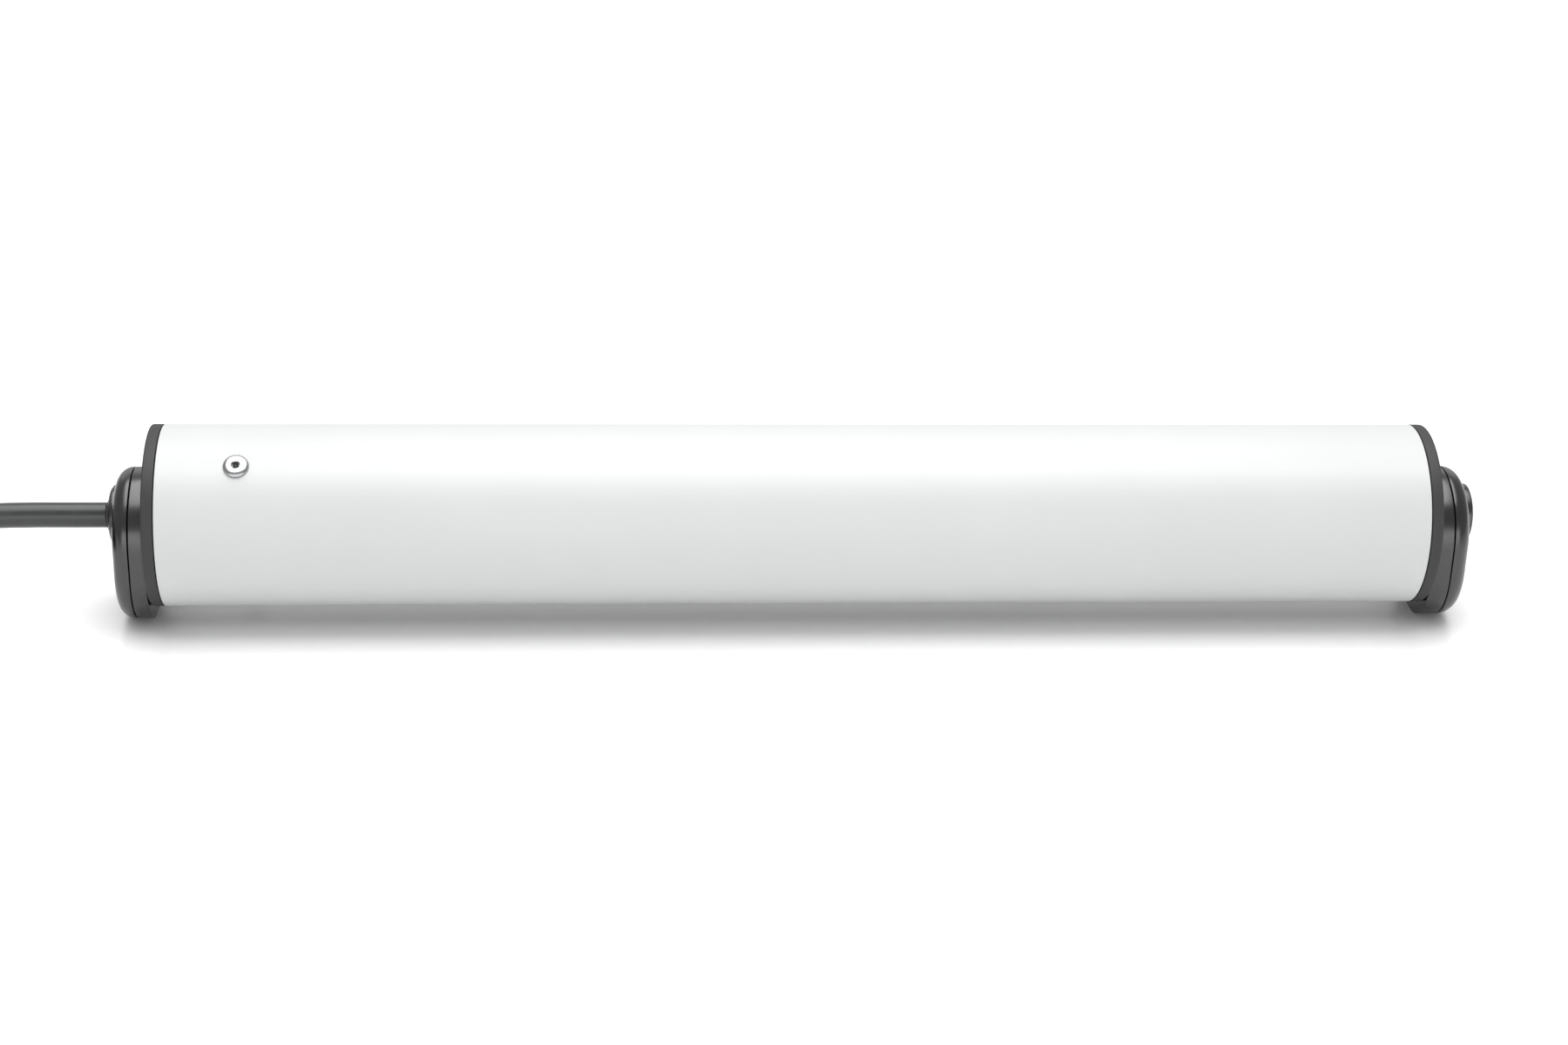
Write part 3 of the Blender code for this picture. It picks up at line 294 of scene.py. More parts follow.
# %% [markdown]
# ## Cable, rubber and small metal
#
# The cable's sheath is extruded rubber: grey-black, satin, with faint marks along it. The
# rivet is turned and plated, so it is bright, with fine scratches. Each of the metals and
# plastics inside gets its own finish too, because the motor can be opened up.

# %% Cable and rivet finishes
sheath, tree, shader, place = shader_of("extruded cable sheath", "#2C2D2E", 0.32)
skin = grain(tree, place, 0.6 * mm, 4.0)
marks = grain(tree, place, 6 * mm)
tint(tree, shader, marks, "#282929", "#303132")
wear(tree, shader, marks, 0.28, 0.38)
relief(tree, shader, skin, 0.02 * mm, 0.6)

rivet_metal, tree, shader, place = shader_of("bright plated rivet steel", "#A6A7A8", 0.28, 1.0)
scratches = grain(tree, place, 0.3 * mm, 5.0, (1, 4, 1))
tint(tree, shader, scratches, "#9A9B9C", "#B2B3B4")
wear(tree, shader, scratches, 0.22, 0.36)
relief(tree, shader, scratches, 0.006 * mm, 0.5)
print(sheath.name, "and", rivet_metal.name)


# %% Finishes of the working parts
def plain_finish(name, dark, light, low, high, metallic, size, depth, stretch=(1, 1, 1)):
    """A material that varies between two colours and two roughnesses, with a fine relief."""
    made, tree, shader, place = shader_of(name, light, high, metallic)
    value = grain(tree, place, size, 4.0, stretch)
    tint(tree, shader, value, dark, light)
    wear(tree, shader, value, low, high)
    relief(tree, shader, value, depth, 0.6)
    return made


finishes = {
    "anodised_tube": anodised,
    "bracket_black": satin_black,
    "ring_black": matt_black,
    "cable_sheath": sheath,
    "rivet_steel": rivet_metal,
    "rubber_black": plain_finish(
        "moulded black rubber", "#1C1C1D", "#262627", 0.55, 0.7, 0.0, 0.4 * mm, 0.02 * mm
    ),
    "zinc_steel": plain_finish(
        "zinc-plated steel", "#A9ACAF", "#C3C5C6", 0.26, 0.42, 1.0, 2.5 * mm, 0.01 * mm
    ),
    "steel": plain_finish(
        "ground steel", "#8F9194", "#B5B7B9", 0.2, 0.34, 1.0, 0.2 * mm, 0.006 * mm, (8, 1, 1)
    ),
    "electrical_steel": plain_finish(
        "stacked electrical steel", "#3F4246", "#6A6D70", 0.35, 0.55, 1.0, 0.5 * mm,
        0.05 * mm, (1, 60, 60),
    ),
    "winding_copper": plain_finish(
        "enamelled copper wire", "#8A4420", "#C9743C", 0.22, 0.4, 0.9, 0.7 * mm, 0.25 * mm, (1, 1, 6)
    ),
    "grey_acetal": plain_finish(
        "moulded grey acetal", "#7E8184", "#8C8F92", 0.42, 0.55, 0.0, 0.5 * mm, 0.01 * mm
    ),
    "white_acetal": plain_finish(
        "moulded white acetal", "#DAD9D2", "#E6E5DF", 0.36, 0.48, 0.0, 0.5 * mm, 0.01 * mm
    ),
    "circuit_board": plain_finish(
        "solder-masked board", "#0C4020", "#15592E", 0.25, 0.4, 0.0, 1.2 * mm, 0.02 * mm
    ),
    "brake_lining": plain_finish(
        "pressed brake lining", "#33291F", "#54473A", 0.8, 0.95, 0.0, 0.6 * mm, 0.08 * mm
    ),
}


def core_finish(word, dark, light):
    """The insulation of a core: smooth PVC, plain coloured."""
    return plain_finish(f"{word} core insulation", dark, light, 0.34, 0.46, 0.0, 1.5 * mm, 0.01 * mm)


finishes["core_brown"] = core_finish("brown", "#5A301A", "#673A21")
finishes["core_black"] = core_finish("black", "#151516", "#1D1D1E")
finishes["core_blue"] = core_finish("blue", "#1D4C97", "#2559A8")

# %% [markdown]
# The earth core is green with yellow stripes along it. The stripes follow the angle round
# the wire, so this material reads the piece's own UV map, whose V runs round it.

# %% Green and yellow core
earth, tree, shader, _ = shader_of("green and yellow core insulation", "#3E9A3A", 0.4)
uv = node(tree, "TexCoord").outputs["UV"]
around = node(tree, "SeparateXYZ", [(uv, "Vector")]).outputs["Y"]
stripes = 2.0
wave = node(tree, "Math", [(around, 0)], operation="MULTIPLY")
wave.inputs[1].default_value = stripes
part = node(tree, "Math", [(wave.outputs[0], 0)], operation="FRACT")
ramp = node(tree, "ValToRGB", [(part.outputs[0], 0)])
ramp.color_ramp.interpolation = "CONSTANT"
ramp.color_ramp.elements[0].color = linear("#2F8F38")
ramp.color_ramp.elements[1].color = linear("#E3C722")
ramp.color_ramp.elements[1].position = 0.62
tree.links.new(ramp.outputs[0], shader.inputs["Base Color"])
finishes["core_earth"] = earth
print(len(finishes), "finishes")

# %% Give every solid of the frame its finish
slot_of = {s["node"]: s["material_slot"] for s in frame["record"]["subparts"]}
for name, solid in frame["nodes"].items():
    for place_in in solid.material_slots:
        place_in.material = finishes[slot_of[name]]
print("dressed", len(slot_of), "solids")

# %% [markdown]
# ## The roller tube
#
# The faceted tube would show its flats along the highlight, so a smooth one takes its place:
# one closed profile, turned in 240 steps, with a small chamfer where the saw cut was deburred.
# It rides on the same body as the solid that it stands for.


# %% Turn the roller tube
def stands_for(piece, body, finish, *nodes):
    """Puts a finished piece in the place of solids, on their body and with their finish."""
    piece.data.materials.clear()
    piece.data.materials.append(finishes[finish])
    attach(piece, body)
    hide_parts(*nodes)
    return piece


wall = 1.5 * mm
edge = 0.3 * mm
outer, inner = tube_r, tube_r - wall
half = [(tube_end - edge, inner), (tube_end, inner + edge), (tube_end, outer - edge)]
half += arc((tube_end - edge, outer - edge), edge, 30, 90, 2)
profile = half + [(-x, r) for x, r in reversed(half)]
roller = turned("roller_tube_drawn", profile, 240)
stands_for(roller, "roller", "anodised_tube", "roller_tube")
report(roller)

# %% [markdown]
# ## The end rings
#
# Each ring is a moulded plug: a flange as wide as the tube, and a spigot inside it. Only the
# flange shows. Its outer corner has a small radius, which the light picks out, and a hair
# gap parts it from the tube's end.


# %% Turn the end rings
def end_ring(side, bore):
    """The profile of a ring's flange and spigot, at the right end or mirrored to the left."""
    gap, corner, fillet = 0.3 * mm, 0.6 * mm, 0.3 * mm
    start, spigot = tube_end + gap, inner - gap
    line = [(ring_face, bore)]
    line += arc((ring_face - corner, tube_r - corner), corner, 0, 90, 8)
    line += arc((start + fillet, tube_r - fillet), fillet, 90, 180, 4)
    line += [(start, spigot), (start - 30 * mm, spigot), (start - 30 * mm, spigot - 3 * mm)]
    line += [(ring_face - 2.2 * mm, spigot - 3 * mm), (ring_face - 2.2 * mm, bore)]
    return [(side * x, r) for x, r in line]


left_flange = turned("left_end_ring_moulded", end_ring(-1, 24 * mm), 200)
right_flange = turned("right_end_ring_moulded", end_ring(1, 9 * mm), 200)
stands_for(left_flange, "roller", "ring_black", "left_end_ring")
stands_for(right_flange, "roller", "ring_black", "right_end_ring")
report(left_flange, right_flange)

# %% [markdown]
# ## The bracket shells
#
# From the side a bracket is two half circles one above the other, with its foot cut flat. A
# shell is a loft: the same outline repeated along X, drawn in where the rim rounds over, and
# joined to the round hole in its middle. Base and cover meet in a fine seam, which is a real
# gap between two softened edges and not a painted line.


# %% The bracket's outline
turn = np.linspace(0, 2 * math.pi, 192, endpoint=False)
upper = bracket_top - bracket_r
lower = -(axis_z + 0.4 * mm - bracket_r)


def bracket_outline(inset=0.0):
    """Two half circles: y = r cos t, z = centre + r sin t, cut at the foot; (points, y and z)."""
    radius = bracket_r - inset
    middle = np.where(np.sin(turn) > 1e-9, upper, lower)
    middle = np.where(np.abs(np.sin(turn)) <= 1e-9, (upper + lower) / 2, middle)
    z = np.maximum(middle + radius * np.sin(turn), inset - axis_z)
    return np.stack([radius * np.cos(turn), z], 1)


def hole_loop(radius):
    """A circle whose points are in line with the outline's, seen from the tube's axis."""
    y, z = bracket_outline().T
    angle = np.arctan2(z, y)
    return np.stack([radius * np.cos(angle), radius * np.sin(angle)], 1)


def shell(name, side, sections):
    """Lofts sections of (x, loop of y and z) into one closed ring-shaped solid."""
    points = np.empty((len(sections), len(turn), 3))
    for row, (x, loop) in enumerate(sections):
        points[row, :, 0] = side * x
        points[row, :, 1:] = loop
    points[..., 2] += axis_z
    return grid_object(name, points, close_rows=True, sharp=40.0)


def rim(x, run, draw_in, steps):
    """A rim's sections: x grows as run sin a while the outline draws in by (1 - cos a)."""
    a = np.linspace(0, math.pi / 2, steps + 1)
    return [
        (x + run * math.sin(t), bracket_outline(draw_in * (1 - math.cos(t)))) for t in a.tolist()
    ]


# %% Loft the four shells
def soft_edge(x, run, draw_in):
    """The four sections of a small softened edge, going along +X if run is negative."""
    sections = rim(x, abs(run), draw_in, 4)
    return sections if run > 0 else [(2 * x - at, loop) for at, loop in reversed(sections)]


ease = 0.25 * mm
cover_bore = 8.9 * mm
for word, side, base_bore in (("left", -1, 12.6 * mm), ("right", 1, 5.3 * mm)):
    start, seam = station[side]["base"]
    base = shell(
        f"{word}_bracket_base_moulded",
        side,
        [
            (start, hole_loop(base_bore)),
            *soft_edge(start + ease, -ease, ease),
            *soft_edge(seam - ease, ease, ease),
            (seam, hole_loop(base_bore)),
        ],
    )
    stands_for(base, "root", "bracket_black", f"{word}_bracket_base")
    inside, face = station[side]["cover"]
    depth = face - inside - ease
    cover = shell(
        f"{word}_bracket_cover_moulded",
        side,
        [
            (inside, hole_loop(cover_bore)),
            *soft_edge(inside + ease, -ease, ease),
            *rim(inside + ease, depth, 5.4 * mm, 24),
            (face, bracket_outline(6.2 * mm)),
            (face, hole_loop(cover_bore)),
        ],
    )
    stands_for(cover, "root", "bracket_black", f"{word}_bracket_cover")
    report(base, cover)

# %% [markdown]
# ## The limit adjusters
#
# Two slotted heads under the boss set where the roller stops, for up and for down. They
# sit a little below the cover's face, each in its own round hole. Holes and slots are cut
# with a Boolean, which is then applied, so that only the finished mesh is left.


# %% Cut a shape out of a piece
def cut(made, name, points):
    """Takes the closed grid of points out of the piece for good."""
    tool = grid_object(name, points)
    work = made.modifiers.new("cut", "BOOLEAN")
    work.solver, work.operation, work.object = "EXACT", "DIFFERENCE", tool
    done = bpy.data.meshes.new_from_object(made.evaluated_get(bpy.context.evaluated_depsgraph_get()))
    made.modifiers.clear()
    made.data = done
    done.name = made.name
    done.shade_smooth()
    done.set_sharp_from_angle(angle=math.radians(35))
    bpy.data.objects.remove(tool)


def plug(x0, x1, y, z, wide, deep, segments=48, power=1.0):
    """A bar along X from x0 to x1, its section an ellipse, or a slot when power is small."""
    a = np.linspace(0, 2 * math.pi, segments, endpoint=False)
    points = np.zeros((4, segments, 3))
    points[:2, :, 0], points[2:, :, 0] = x0, x1
    points[..., 1], points[..., 2] = y, z
    points[1:3, :, 1] += wide * np.sign(np.cos(a)) * np.abs(np.cos(a)) ** power
    points[1:3, :, 2] += deep * np.sign(np.sin(a)) * np.abs(np.sin(a)) ** power
    return points


# %% Holes in the left cover, and a slotted head in each
cover = bpy.data.objects["left_bracket_cover_moulded"]
face = -station[-1]["cover"][1]
for word in ("up", "down"):
    low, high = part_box(f"limit_adjuster_{word}")
    y, z = (low[1] + high[1]) / 2, (low[2] + high[2]) / 2
    radius, top = (high[1] - low[1]) / 2, low[0]
    cut(cover, "hole", plug(face - 2 * mm, face + 7 * mm, y, z, 2.6 * mm, 2.6 * mm))
    line = [(high[0], 0), (high[0], 1.7 * mm), (top + 3 * mm, 1.7 * mm), (top + 3 * mm, radius)]
    line += arc((top + 0.3 * mm, radius - 0.3 * mm), 0.3 * mm, 90, 180, 5) + [(top, 0)]
    head = turned(f"limit_adjuster_{word}_slotted", line, 64, (y, z))
    cut(head, "slot", plug(top - 1 * mm, top + 1 * mm, y, z, 4 * mm, 0.4 * mm, 48, 0.3))
    stands_for(head, f"limit_adjuster_{word}", "white_acetal", f"limit_adjuster_{word}")
    report(head)

# %% [markdown]
# ## Boss and cap
#
# A low round boss closes the hole in each cover. Its step is sharp enough to catch a thin
# line of light, and above the step it rises as a shallow dome. The left one is a ring, for
# the cable; the right one is whole, and hides the axle.


# %% Turn the boss and the cap
def boss_line(side, bore):
    """A spigot, a step, and a quarter-ellipse dome down to the bore or the axis."""
    step, fillet = (2.5 * mm if side > 0 else 1.1 * mm), 0.45 * mm
    foot = station[side]["cover"][1] + 0.05 * mm
    shoulder = boss_r - 0.6 * mm
    spigot_r = cover_bore - 0.3 * mm
    rise = station[side]["boss"] - foot - step
    dome = np.linspace(0, math.pi / 2, 15)
    x = foot + step + rise * np.sin(dome)
    r = bore + (shoulder - bore) * np.cos(dome)
    line = [(foot - 3 * mm, bore), (foot - 3 * mm, spigot_r), (foot, spigot_r), (foot, boss_r)]
    line += arc((foot + step - fillet, boss_r - fillet), fillet, 90, 0, 4)[:-1]
    line += [(foot + step, boss_r - fillet)] + np.stack([x, r], 1).tolist()
    return [(side * a, b) for a, b in line]


boss = turned("left_outlet_boss_moulded", boss_line(-1, 6.2 * mm), 160, sharp=28.0)
cap = turned("right_axle_cap_moulded", boss_line(1, 0.0), 160, closed=True, sharp=28.0)
stands_for(boss, "root", "bracket_black", "left_outlet_boss")
stands_for(cap, "root", "bracket_black", "right_axle_cap")
report(boss, cap)

# %% [markdown]
# ## The blind rivets
#
# A blind rivet is pulled from outside: its head is a low dome, and the broken end of its
# mandrel stays at the bottom of the hole. The head is turned about its own axis and then
# laid on the tube, where the underside of its rim follows the tube's curve.


# %% Place the rivets on the tube
rivet_low, rivet_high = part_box("tube_rivet_1")
rivet_x = (rivet_low[0] + rivet_high[0]) / 2
rivet_angle = math.radians(125)


def on_tube(name, profile, angle, segments=96, sharp=30.0):
    """Turns (radius, height) points about a line out of the tube; height 0 follows the tube."""
    line = np.array(profile, float)
    a = np.linspace(0, 2 * math.pi, segments, endpoint=False)
    along = line[:, :1] * np.cos(a)
    across = line[:, :1] * np.sin(a)
    fall = np.sqrt(tube_r**2 - across**2) - tube_r
    high = line[:, 1:] + fall * (line[:, 1:] <= 0.02 * mm)
    reach = tube_r + high
    y = reach * math.cos(angle) + across * math.sin(angle)
    z = reach * math.sin(angle) - across * math.cos(angle)
    points = np.stack([rivet_x + along, y, axis_z + z], -1)
    return grid_object(name, points, sharp=sharp)


head_r, hole_r, rise = 4.2 * mm, 1.25 * mm, 1.3 * mm
curve = np.linspace(0, math.pi / 2, 13)
dome = np.stack(
    [2.5 * mm + (head_r - 2.5 * mm) * np.cos(curve), 0.12 * mm + (rise - 0.12 * mm) * np.sin(curve)], 1
)
head_line = [(0, -0.3 * mm), (head_r - 0.1 * mm, -0.02 * mm), (head_r, 0.05 * mm)]
head_line += dome.tolist() + [(hole_r + 0.25 * mm, rise + 0.03 * mm)]
head_line += [(hole_r, rise - 0.2 * mm), (hole_r, 0.2 * mm), (0, 0.2 * mm)]
mandrel_line = [(0, 0.1 * mm), (0.95 * mm, 0.1 * mm), (0.95 * mm, 0.55 * mm), (0.7 * mm, 0.72 * mm)]
mandrel_line += [(0.4 * mm, 0.62 * mm), (0, 0.7 * mm)]
dark_steel = plain_finish(
    "broken mandrel steel", "#2C2C2D", "#474849", 0.5, 0.7, 1.0, 0.15 * mm, 0.05 * mm
)
for number in (1, 2):
    angle = rivet_angle + math.pi * (number - 1)
    head = on_tube(f"tube_rivet_{number}_head", head_line, angle)
    stands_for(head, "roller", "rivet_steel", f"tube_rivet_{number}")
    stub = on_tube(f"tube_rivet_{number}_mandrel", mandrel_line, angle, 48)
    stub.data.materials.append(dark_steel)
    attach(stub, "roller")
    report(head, stub)

# %% [markdown]
# ## The cable
#
# The cable is one length of about 2 m. It leaves the boss straight, eases down on to the
# coil beside the motor, and is wound in six turns. The first turn lies on top, and the others
# fill six places under it, two side by side and three high. The cable moves to its next place
# over a short stretch of the circle, and its end curls into the middle. The turns' places are
# a formula of the angle wound so far. The free stretches are listed points, and one
# smooth curve runs through them all.


# %% The cable's route
def smooth(points, step):
    """Catmull-Rom: each stretch is the cubic that leaves its ends along their neighbours."""
    p = np.array(points, float)
    p = np.vstack([2 * p[0] - p[1], p, 2 * p[-1] - p[-2]])
    a, b, c, d = p[:-3], p[1:-2], p[2:-1], p[3:]
    count = np.maximum(1, np.ceil(np.linalg.norm(c - b, axis=1) / step).astype(int))
    index = np.repeat(np.arange(len(b)), count)
    first = np.repeat(np.cumsum(count) - count, count)
    t = ((np.arange(count.sum()) - first) / np.repeat(count, count))[:, None]
    a, b, c, d = a[index], b[index], c[index], d[index]
    curve = b + (c - a) * t / 2 + (a - 2.5 * b + 2 * c - 0.5 * d) * t**2
    curve += (1.5 * (b - c) + 0.5 * (d - a)) * t**3
    return np.vstack([curve, p[-2]])


cable_d = 8.4 * mm
coil_low, coil_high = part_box("cable_coil")
coil_x, coil_y = (coil_low[0] + coil_high[0]) / 2, (coil_low[1] + coil_high[1]) / 2
coil_middle = 48 * mm
run = [
    (-227.2, 0, 35.1), (-238, 0, 35.1), (-252, 0, 35.1), (-266, -0.5, 34.9),
    (-280, -2.4, 34.3), (-291, -5.2, 33.4), (-301, -8.9, 32.3),
    (-313, -13.3, 30.8), (-326, -17.5, 29.4), (-338, -20.2, 28.6),
]
tail = [
    (-9.85, -33.33, 4.2), (-18.61, -28.53, 4.2), (-25.3, -21.12, 4.2),
    (-29.19, -11.92, 4.2), (-29.84, -1.95, 4.2), (-27.19, 7.68, 4.2),
]
tail = np.array(tail) + (coil_x / mm, coil_y / mm, 0)
print("coil centred at", round(coil_x / mm), round(coil_y / mm), "mm")


# %% Wind the coil
def wound(total, hold_first, pitch, shift, step):
    """Turns of the coil: an angle that falls, with radius and height blended place to place.

    Place k is left over shift degrees from hold_first + k pitch; the blend is t t (3 - 2 t).
    """
    places = [(0, 28.3), (4.2, 21), (-4.2, 21), (-4.2, 12.6), (4.2, 12.6), (4.2, 4.2), (-4.2, 4.2)]
    places = np.array([*places, (-13, 4.2)])
    angle = np.arange(0, total + step / 2, step)
    leave = hold_first + pitch * np.arange(len(places) - 1)
    leave[-1] = total - 75
    shift = np.array([*[shift] * (len(places) - 2), 75])
    t = np.clip((angle[:, None] - leave) / shift, 0, 1)
    now = places[0] + (t * t * (3 - 2 * t)) @ np.diff(places, axis=0)
    a = np.radians(-90 - angle)
    r = coil_middle / mm + now[:, 0]
    return np.stack([coil_x / mm + r * np.cos(a), coil_y / mm + r * np.sin(a), now[:, 1]], 1)


coil = wound(2160, 300, 320, 40, 12)
route = smooth(np.vstack([run, coil, tail]) * mm, 3 * mm)


# %% Sweep a round section along a route
def swept(name, line, radius, segments=28, swell=None):
    """p + r (cos a side + sin a over): side is level and across the way, over is above it."""
    way = np.gradient(line, axis=0)
    way /= np.linalg.norm(way, axis=1, keepdims=True)
    side = np.cross(way, (0, 0, 1))
    side /= np.linalg.norm(side, axis=1, keepdims=True)
    over = np.cross(side, way)
    r = np.full(len(line), radius) if swell is None else radius * swell
    line = np.vstack([line[:1], line, line[-1:]])
    side, over = (np.vstack([v[:1], v, v[-1:]]) for v in (side, over))
    r = np.concatenate([[0], r, [0]])[:, None, None]
    a = np.linspace(0, 2 * math.pi, segments, endpoint=False)[None, :, None]
    points = line[:, None] + r * (np.cos(a) * side[:, None] + np.sin(a) * over[:, None])
    return grid_object(name, points, sharp=50.0)


cable = swept("mains_cable", route, cable_d / 2)
stands_for(cable, "root", "cable_sheath", "cable_run", "cable_coil", "cable_tail")
report(cable)

# %% [markdown]
# ## What is on the cable
#
# At the boss a rubber strain relief tapers round the cable, and at the free end the sheath
# is cut back from four cores, each crimped in a ferrule. Two ties hold the coil.

# %% Strain relief
lip = boss_face + 0.7 * mm
relief_line = [(lip, 4.35 * mm)]
relief_line += arc((lip - 0.4 * mm, 4.9 * mm), 0.4 * mm, 0, 90, 5)
relief_line += [(lip - 1.6 * mm, 5.5 * mm), (lip - 6 * mm, 5.9 * mm), (lip - 6.2 * mm, 7.3 * mm)]
relief_line += [(lip - 7.6 * mm, 7.3 * mm), (lip - 7.8 * mm, 5.8 * mm), (lip - 20 * mm, 5.0 * mm)]
relief_line += [(lip - 20 * mm, 4.35 * mm)]
gland = turned("strain_relief_moulded", [(-x, r) for x, r in relief_line], 96)
stands_for(gland, "root", "rubber_black", "cable_strain_relief")

# %% Cores and ferrules
core_points = {
    "brown": [(-1.5, -2, 5.7), (-1.6, 1, 5.7), (-2.6, 7, 5.2), (-4.0, 14, 3.2), (-5.0, 20, 1.65)],
    "black": [(1.5, -2, 5.7), (1.6, 1, 5.7), (2.0, 8, 6.0), (2.2, 17, 4.4), (1.6, 25, 2.0)],
    "blue": [(-1.5, -2, 2.7), (-1.5, 1, 2.7), (-1.0, 8, 2.0), (3.0, 16, 1.7), (6.5, 23, 1.65)],
    "earth": [(1.5, -2, 2.7), (1.7, 1, 2.7), (4.0, 7, 2.0), (8.5, 14, 1.7), (13.0, 20, 1.65)],
}
heading = math.radians(65)
to_right = np.array([math.sin(heading), -math.cos(heading), 0])
ahead = np.array([math.cos(heading), math.sin(heading), 0])
tin = plain_finish("tinned copper", "#B9BABC", "#D6D7D8", 0.2, 0.34, 1.0, 0.3 * mm, 0.01 * mm)
collar_swell = np.array([1.0, 1.0, 1.0, 0.98, 0.9, 0.6])
on_cable = [gland]
for word, points in core_points.items():
    sideways, forward, high = np.array(points, float)[:, :, None].transpose(1, 0, 2)
    line = sideways * to_right + forward * ahead + high * (0, 0, 1)
    line = smooth((line + tail[-1] * (1, 1, 0)) * mm, 0.6 * mm)
    split = int(len(line) * 0.74)
    core = swept(f"core_{word}_wire", line[: split + 2], 1.2 * mm, 24)
    stands_for(core, "root", f"core_{word}", f"core_{word}")
    collar = swept(f"core_{word}_collar", line[split : split + 6], 1.55 * mm, 24, collar_swell)
    sleeve = swept(f"core_{word}_ferrule", line[split + 5 :], 0.8 * mm, 20)
    for piece, finish in ((collar, finishes["white_acetal"]), (sleeve, tin)):
        piece.data.materials.append(finish)
        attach(piece, "root")
    on_cable += [core, collar, sleeve]
    report(core)


# %% Cable ties round the coil
def tie(name, angle):
    """A flat band round the coil's section: a rounded box of (radius, height), 4 mm wide."""
    a = np.linspace(0, 2 * math.pi, 72, endpoint=False)
    power = 0.42
    r = coil_middle + 9.2 * mm * np.sign(np.cos(a)) * np.abs(np.cos(a)) ** power
    z = 16.7 * mm + 16.3 * mm * np.sign(np.sin(a)) * np.abs(np.sin(a)) ** power
    thick = np.array([0.0, 0.7, 0.7, 0.0])[:, None] * mm
    wide = np.array([-2.0, -2.0, 2.0, 2.0])[:, None] * mm
    middle = np.array([coil_middle, 16.7 * mm])
    out = np.stack([r, z], 1) - middle
    out /= np.linalg.norm(out, axis=1, keepdims=True)
    r = r - thick * out[:, 0]
    z = z - thick * out[:, 1]
    along = np.array([math.cos(angle), math.sin(angle)])
    cross = np.array([-math.sin(angle), math.cos(angle)])
    xy = r[..., None] * along + (wide + 0 * r)[..., None] * cross
    points = np.concatenate([xy + (coil_x, coil_y), z[..., None]], -1)
    return grid_object(name, points, close_rows=True, sharp=35.0)


for number, degrees in ((1, 35), (2, 250)):
    band = tie(f"coil_tie_{number}", math.radians(degrees))
    band.data.materials.append(finishes["rubber_black"])
    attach(band, "root")
    on_cable.append(band)
    report(band)

# %% [markdown]
# ## The floor and the light
#
# The part stands on a white floor with a little gloss. A large soft box overhead does most
# of the work, and its edge is what ends the highlight on the tube and on the black shells. A
# long low card in front lifts the lower half of the tube. A light behind parts the top edges
# from the floor, and a fill in front is hidden from glossy rays, so that it brightens the
# floor but leaves the black plastic dark between the highlight and the card.

# %% Floor
floor_points = np.array([[(x, y, 0.0) for y in (-6.0, 9.0)] for x in (-7.0, 7.0)])
floor = grid_object("floor", floor_points, close_columns=False)
white_floor, tree, shader, place = shader_of("white acrylic floor", "#F4F4F4", 0.22)
mottle = grain(tree, place, 400 * mm)
tint(tree, shader, mottle, "#F3F3F3", "#F5F5F5")
floor.data.materials.append(white_floor)


# %% Lights
def soft_box(name, at, toward, wide, deep, power):
    """An area light at a place, facing a point in the plane of Y and Z through it."""
    light = bpy.data.lights.new(name, "AREA")
    light.shape = "RECTANGLE"
    light.size, light.size_y, light.energy = wide, deep, power
    made = bpy.data.objects.new(name, light)
    bpy.context.scene.collection.objects.link(made)
    back = np.array(at, float) - np.array(toward, float)
    back /= np.linalg.norm(back)
    right = (1.0, 0.0, 0.0)
    matrix = np.eye(4)
    matrix[:3, 0], matrix[:3, 1], matrix[:3, 2] = right, np.cross(back, right), back
    matrix[:3, 3] = at
    made.matrix_world = matrix.T.tolist()
    return made


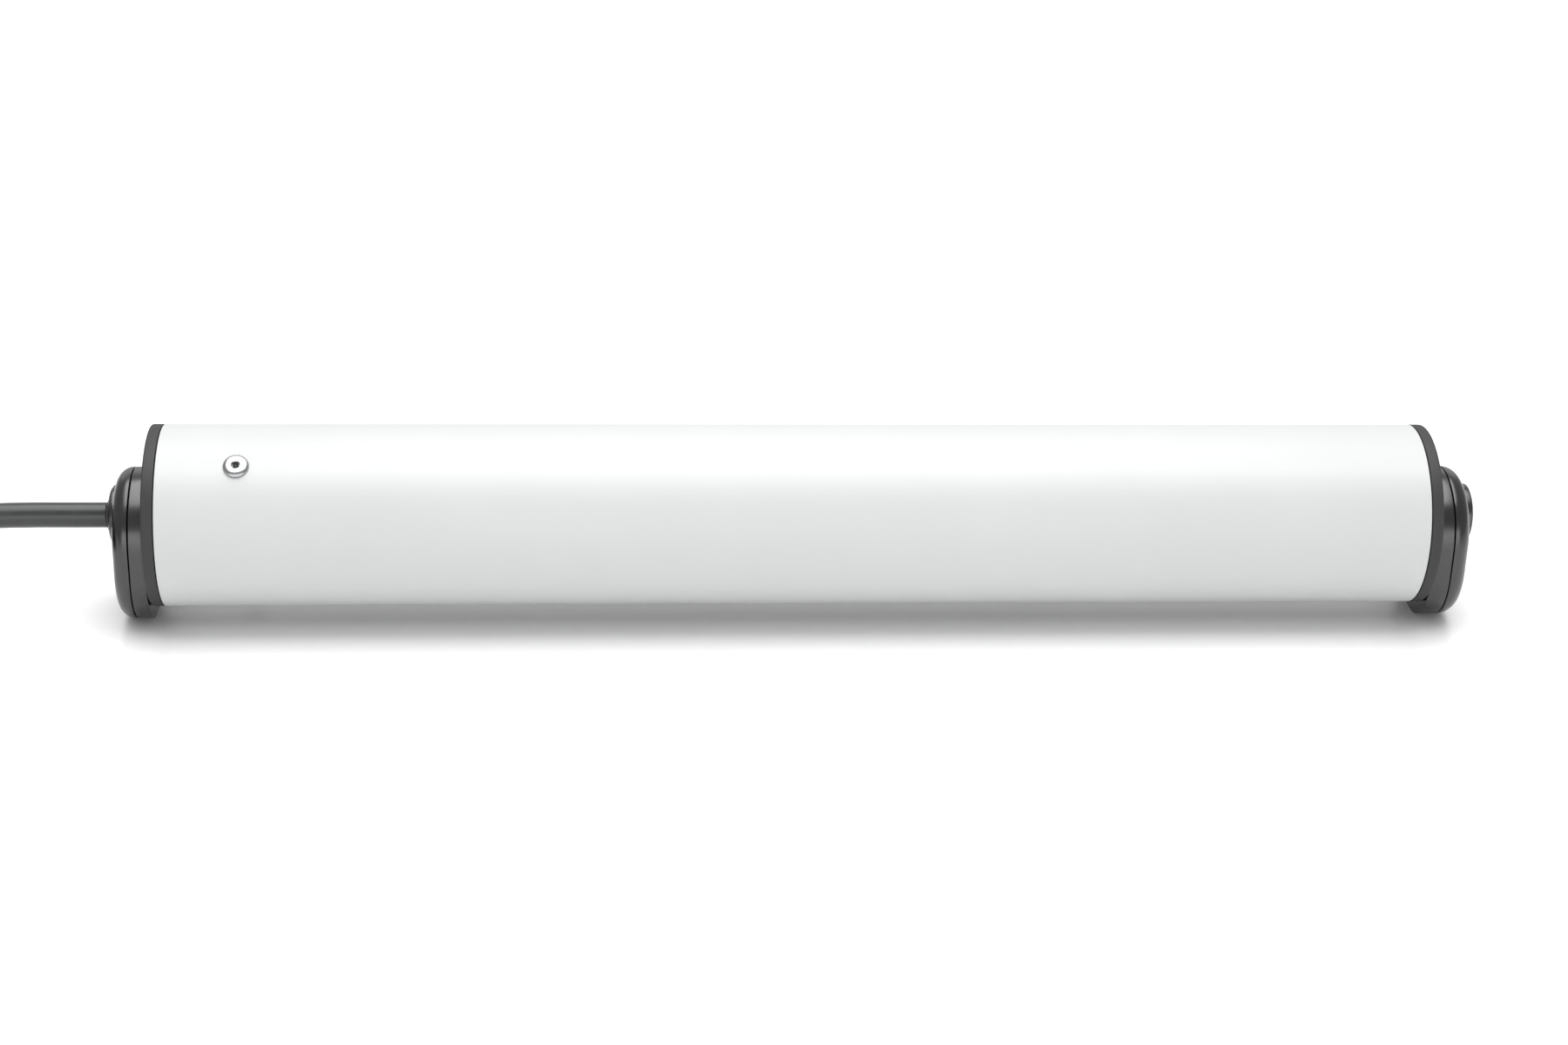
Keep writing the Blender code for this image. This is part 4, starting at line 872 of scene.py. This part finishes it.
soft_box("overhead", (0.0, 0.2, 1.5), (0.0, 0.2, 0.0), 1.8, 1.6, 36)
soft_box("card", (0.0, -2.2, 0.42), (0.0, 0.0, 0.42), 4.0, 0.84, 22)
soft_box("behind", (0.0, 2.4, 1.0), (0.0, 0.5, 0.0), 4.0, 1.2, 9)
fill = soft_box("fill", (0.0, -0.65, 1.5), (0.0, -0.65, 0.0), 3.2, 1.5, 12)
fill.visible_glossy = False
world = bpy.data.worlds.new("studio")
world.use_nodes = True
world.node_tree.nodes["Background"].inputs["Color"].default_value = linear("#FFFFFF")
world.node_tree.nodes["Background"].inputs["Strength"].default_value = 0.45
bpy.context.scene.world = world
bpy.context.scene.view_settings.view_transform = "Standard"

# %% [markdown]
# ## The camera
#
# The view is a long lens from the front, a little to the left of the middle and about 24
# degrees above, turned slightly right. The camera is placed from the tube's own axis, in
# tube radii, so that it keeps its framing if the part changes.

# %% Camera
elevation = math.radians(24)
pan, tilt, roll = math.radians(3.93), math.radians(0.17), math.radians(-0.09)
back_away = 32.49 * tube_r
forward = np.array([0, math.cos(elevation), -math.sin(elevation)])
above = np.array([0, math.sin(elevation), math.cos(elevation)])
aim = np.array([math.sin(pan), 0, 0]) + math.cos(pan) * forward
aim = math.cos(tilt) * aim - math.sin(tilt) * above
right = np.cross(aim, above)
right /= np.linalg.norm(right)
over = np.cross(right, aim)
right, over = (
    math.cos(roll) * right + math.sin(roll) * over,
    math.cos(roll) * over - math.sin(roll) * right,
)
lens = bpy.data.cameras.new("front_view")
lens.lens, lens.sensor_width = 67.08, 36.0
lens.clip_start, lens.clip_end = 0.05, 50.0
camera = bpy.data.objects.new("front_view", lens)
bpy.context.scene.collection.objects.link(camera)
matrix = np.eye(4)
matrix[:3, 0], matrix[:3, 1], matrix[:3, 2] = right, over, -aim
matrix[:3, 3] = np.array([-2.36 * tube_r, 0, axis_z]) - back_away * forward
camera.matrix_world = matrix.T.tolist()
bpy.context.scene.camera = camera
print("camera at", np.round(matrix[:3, 3], 3).tolist())
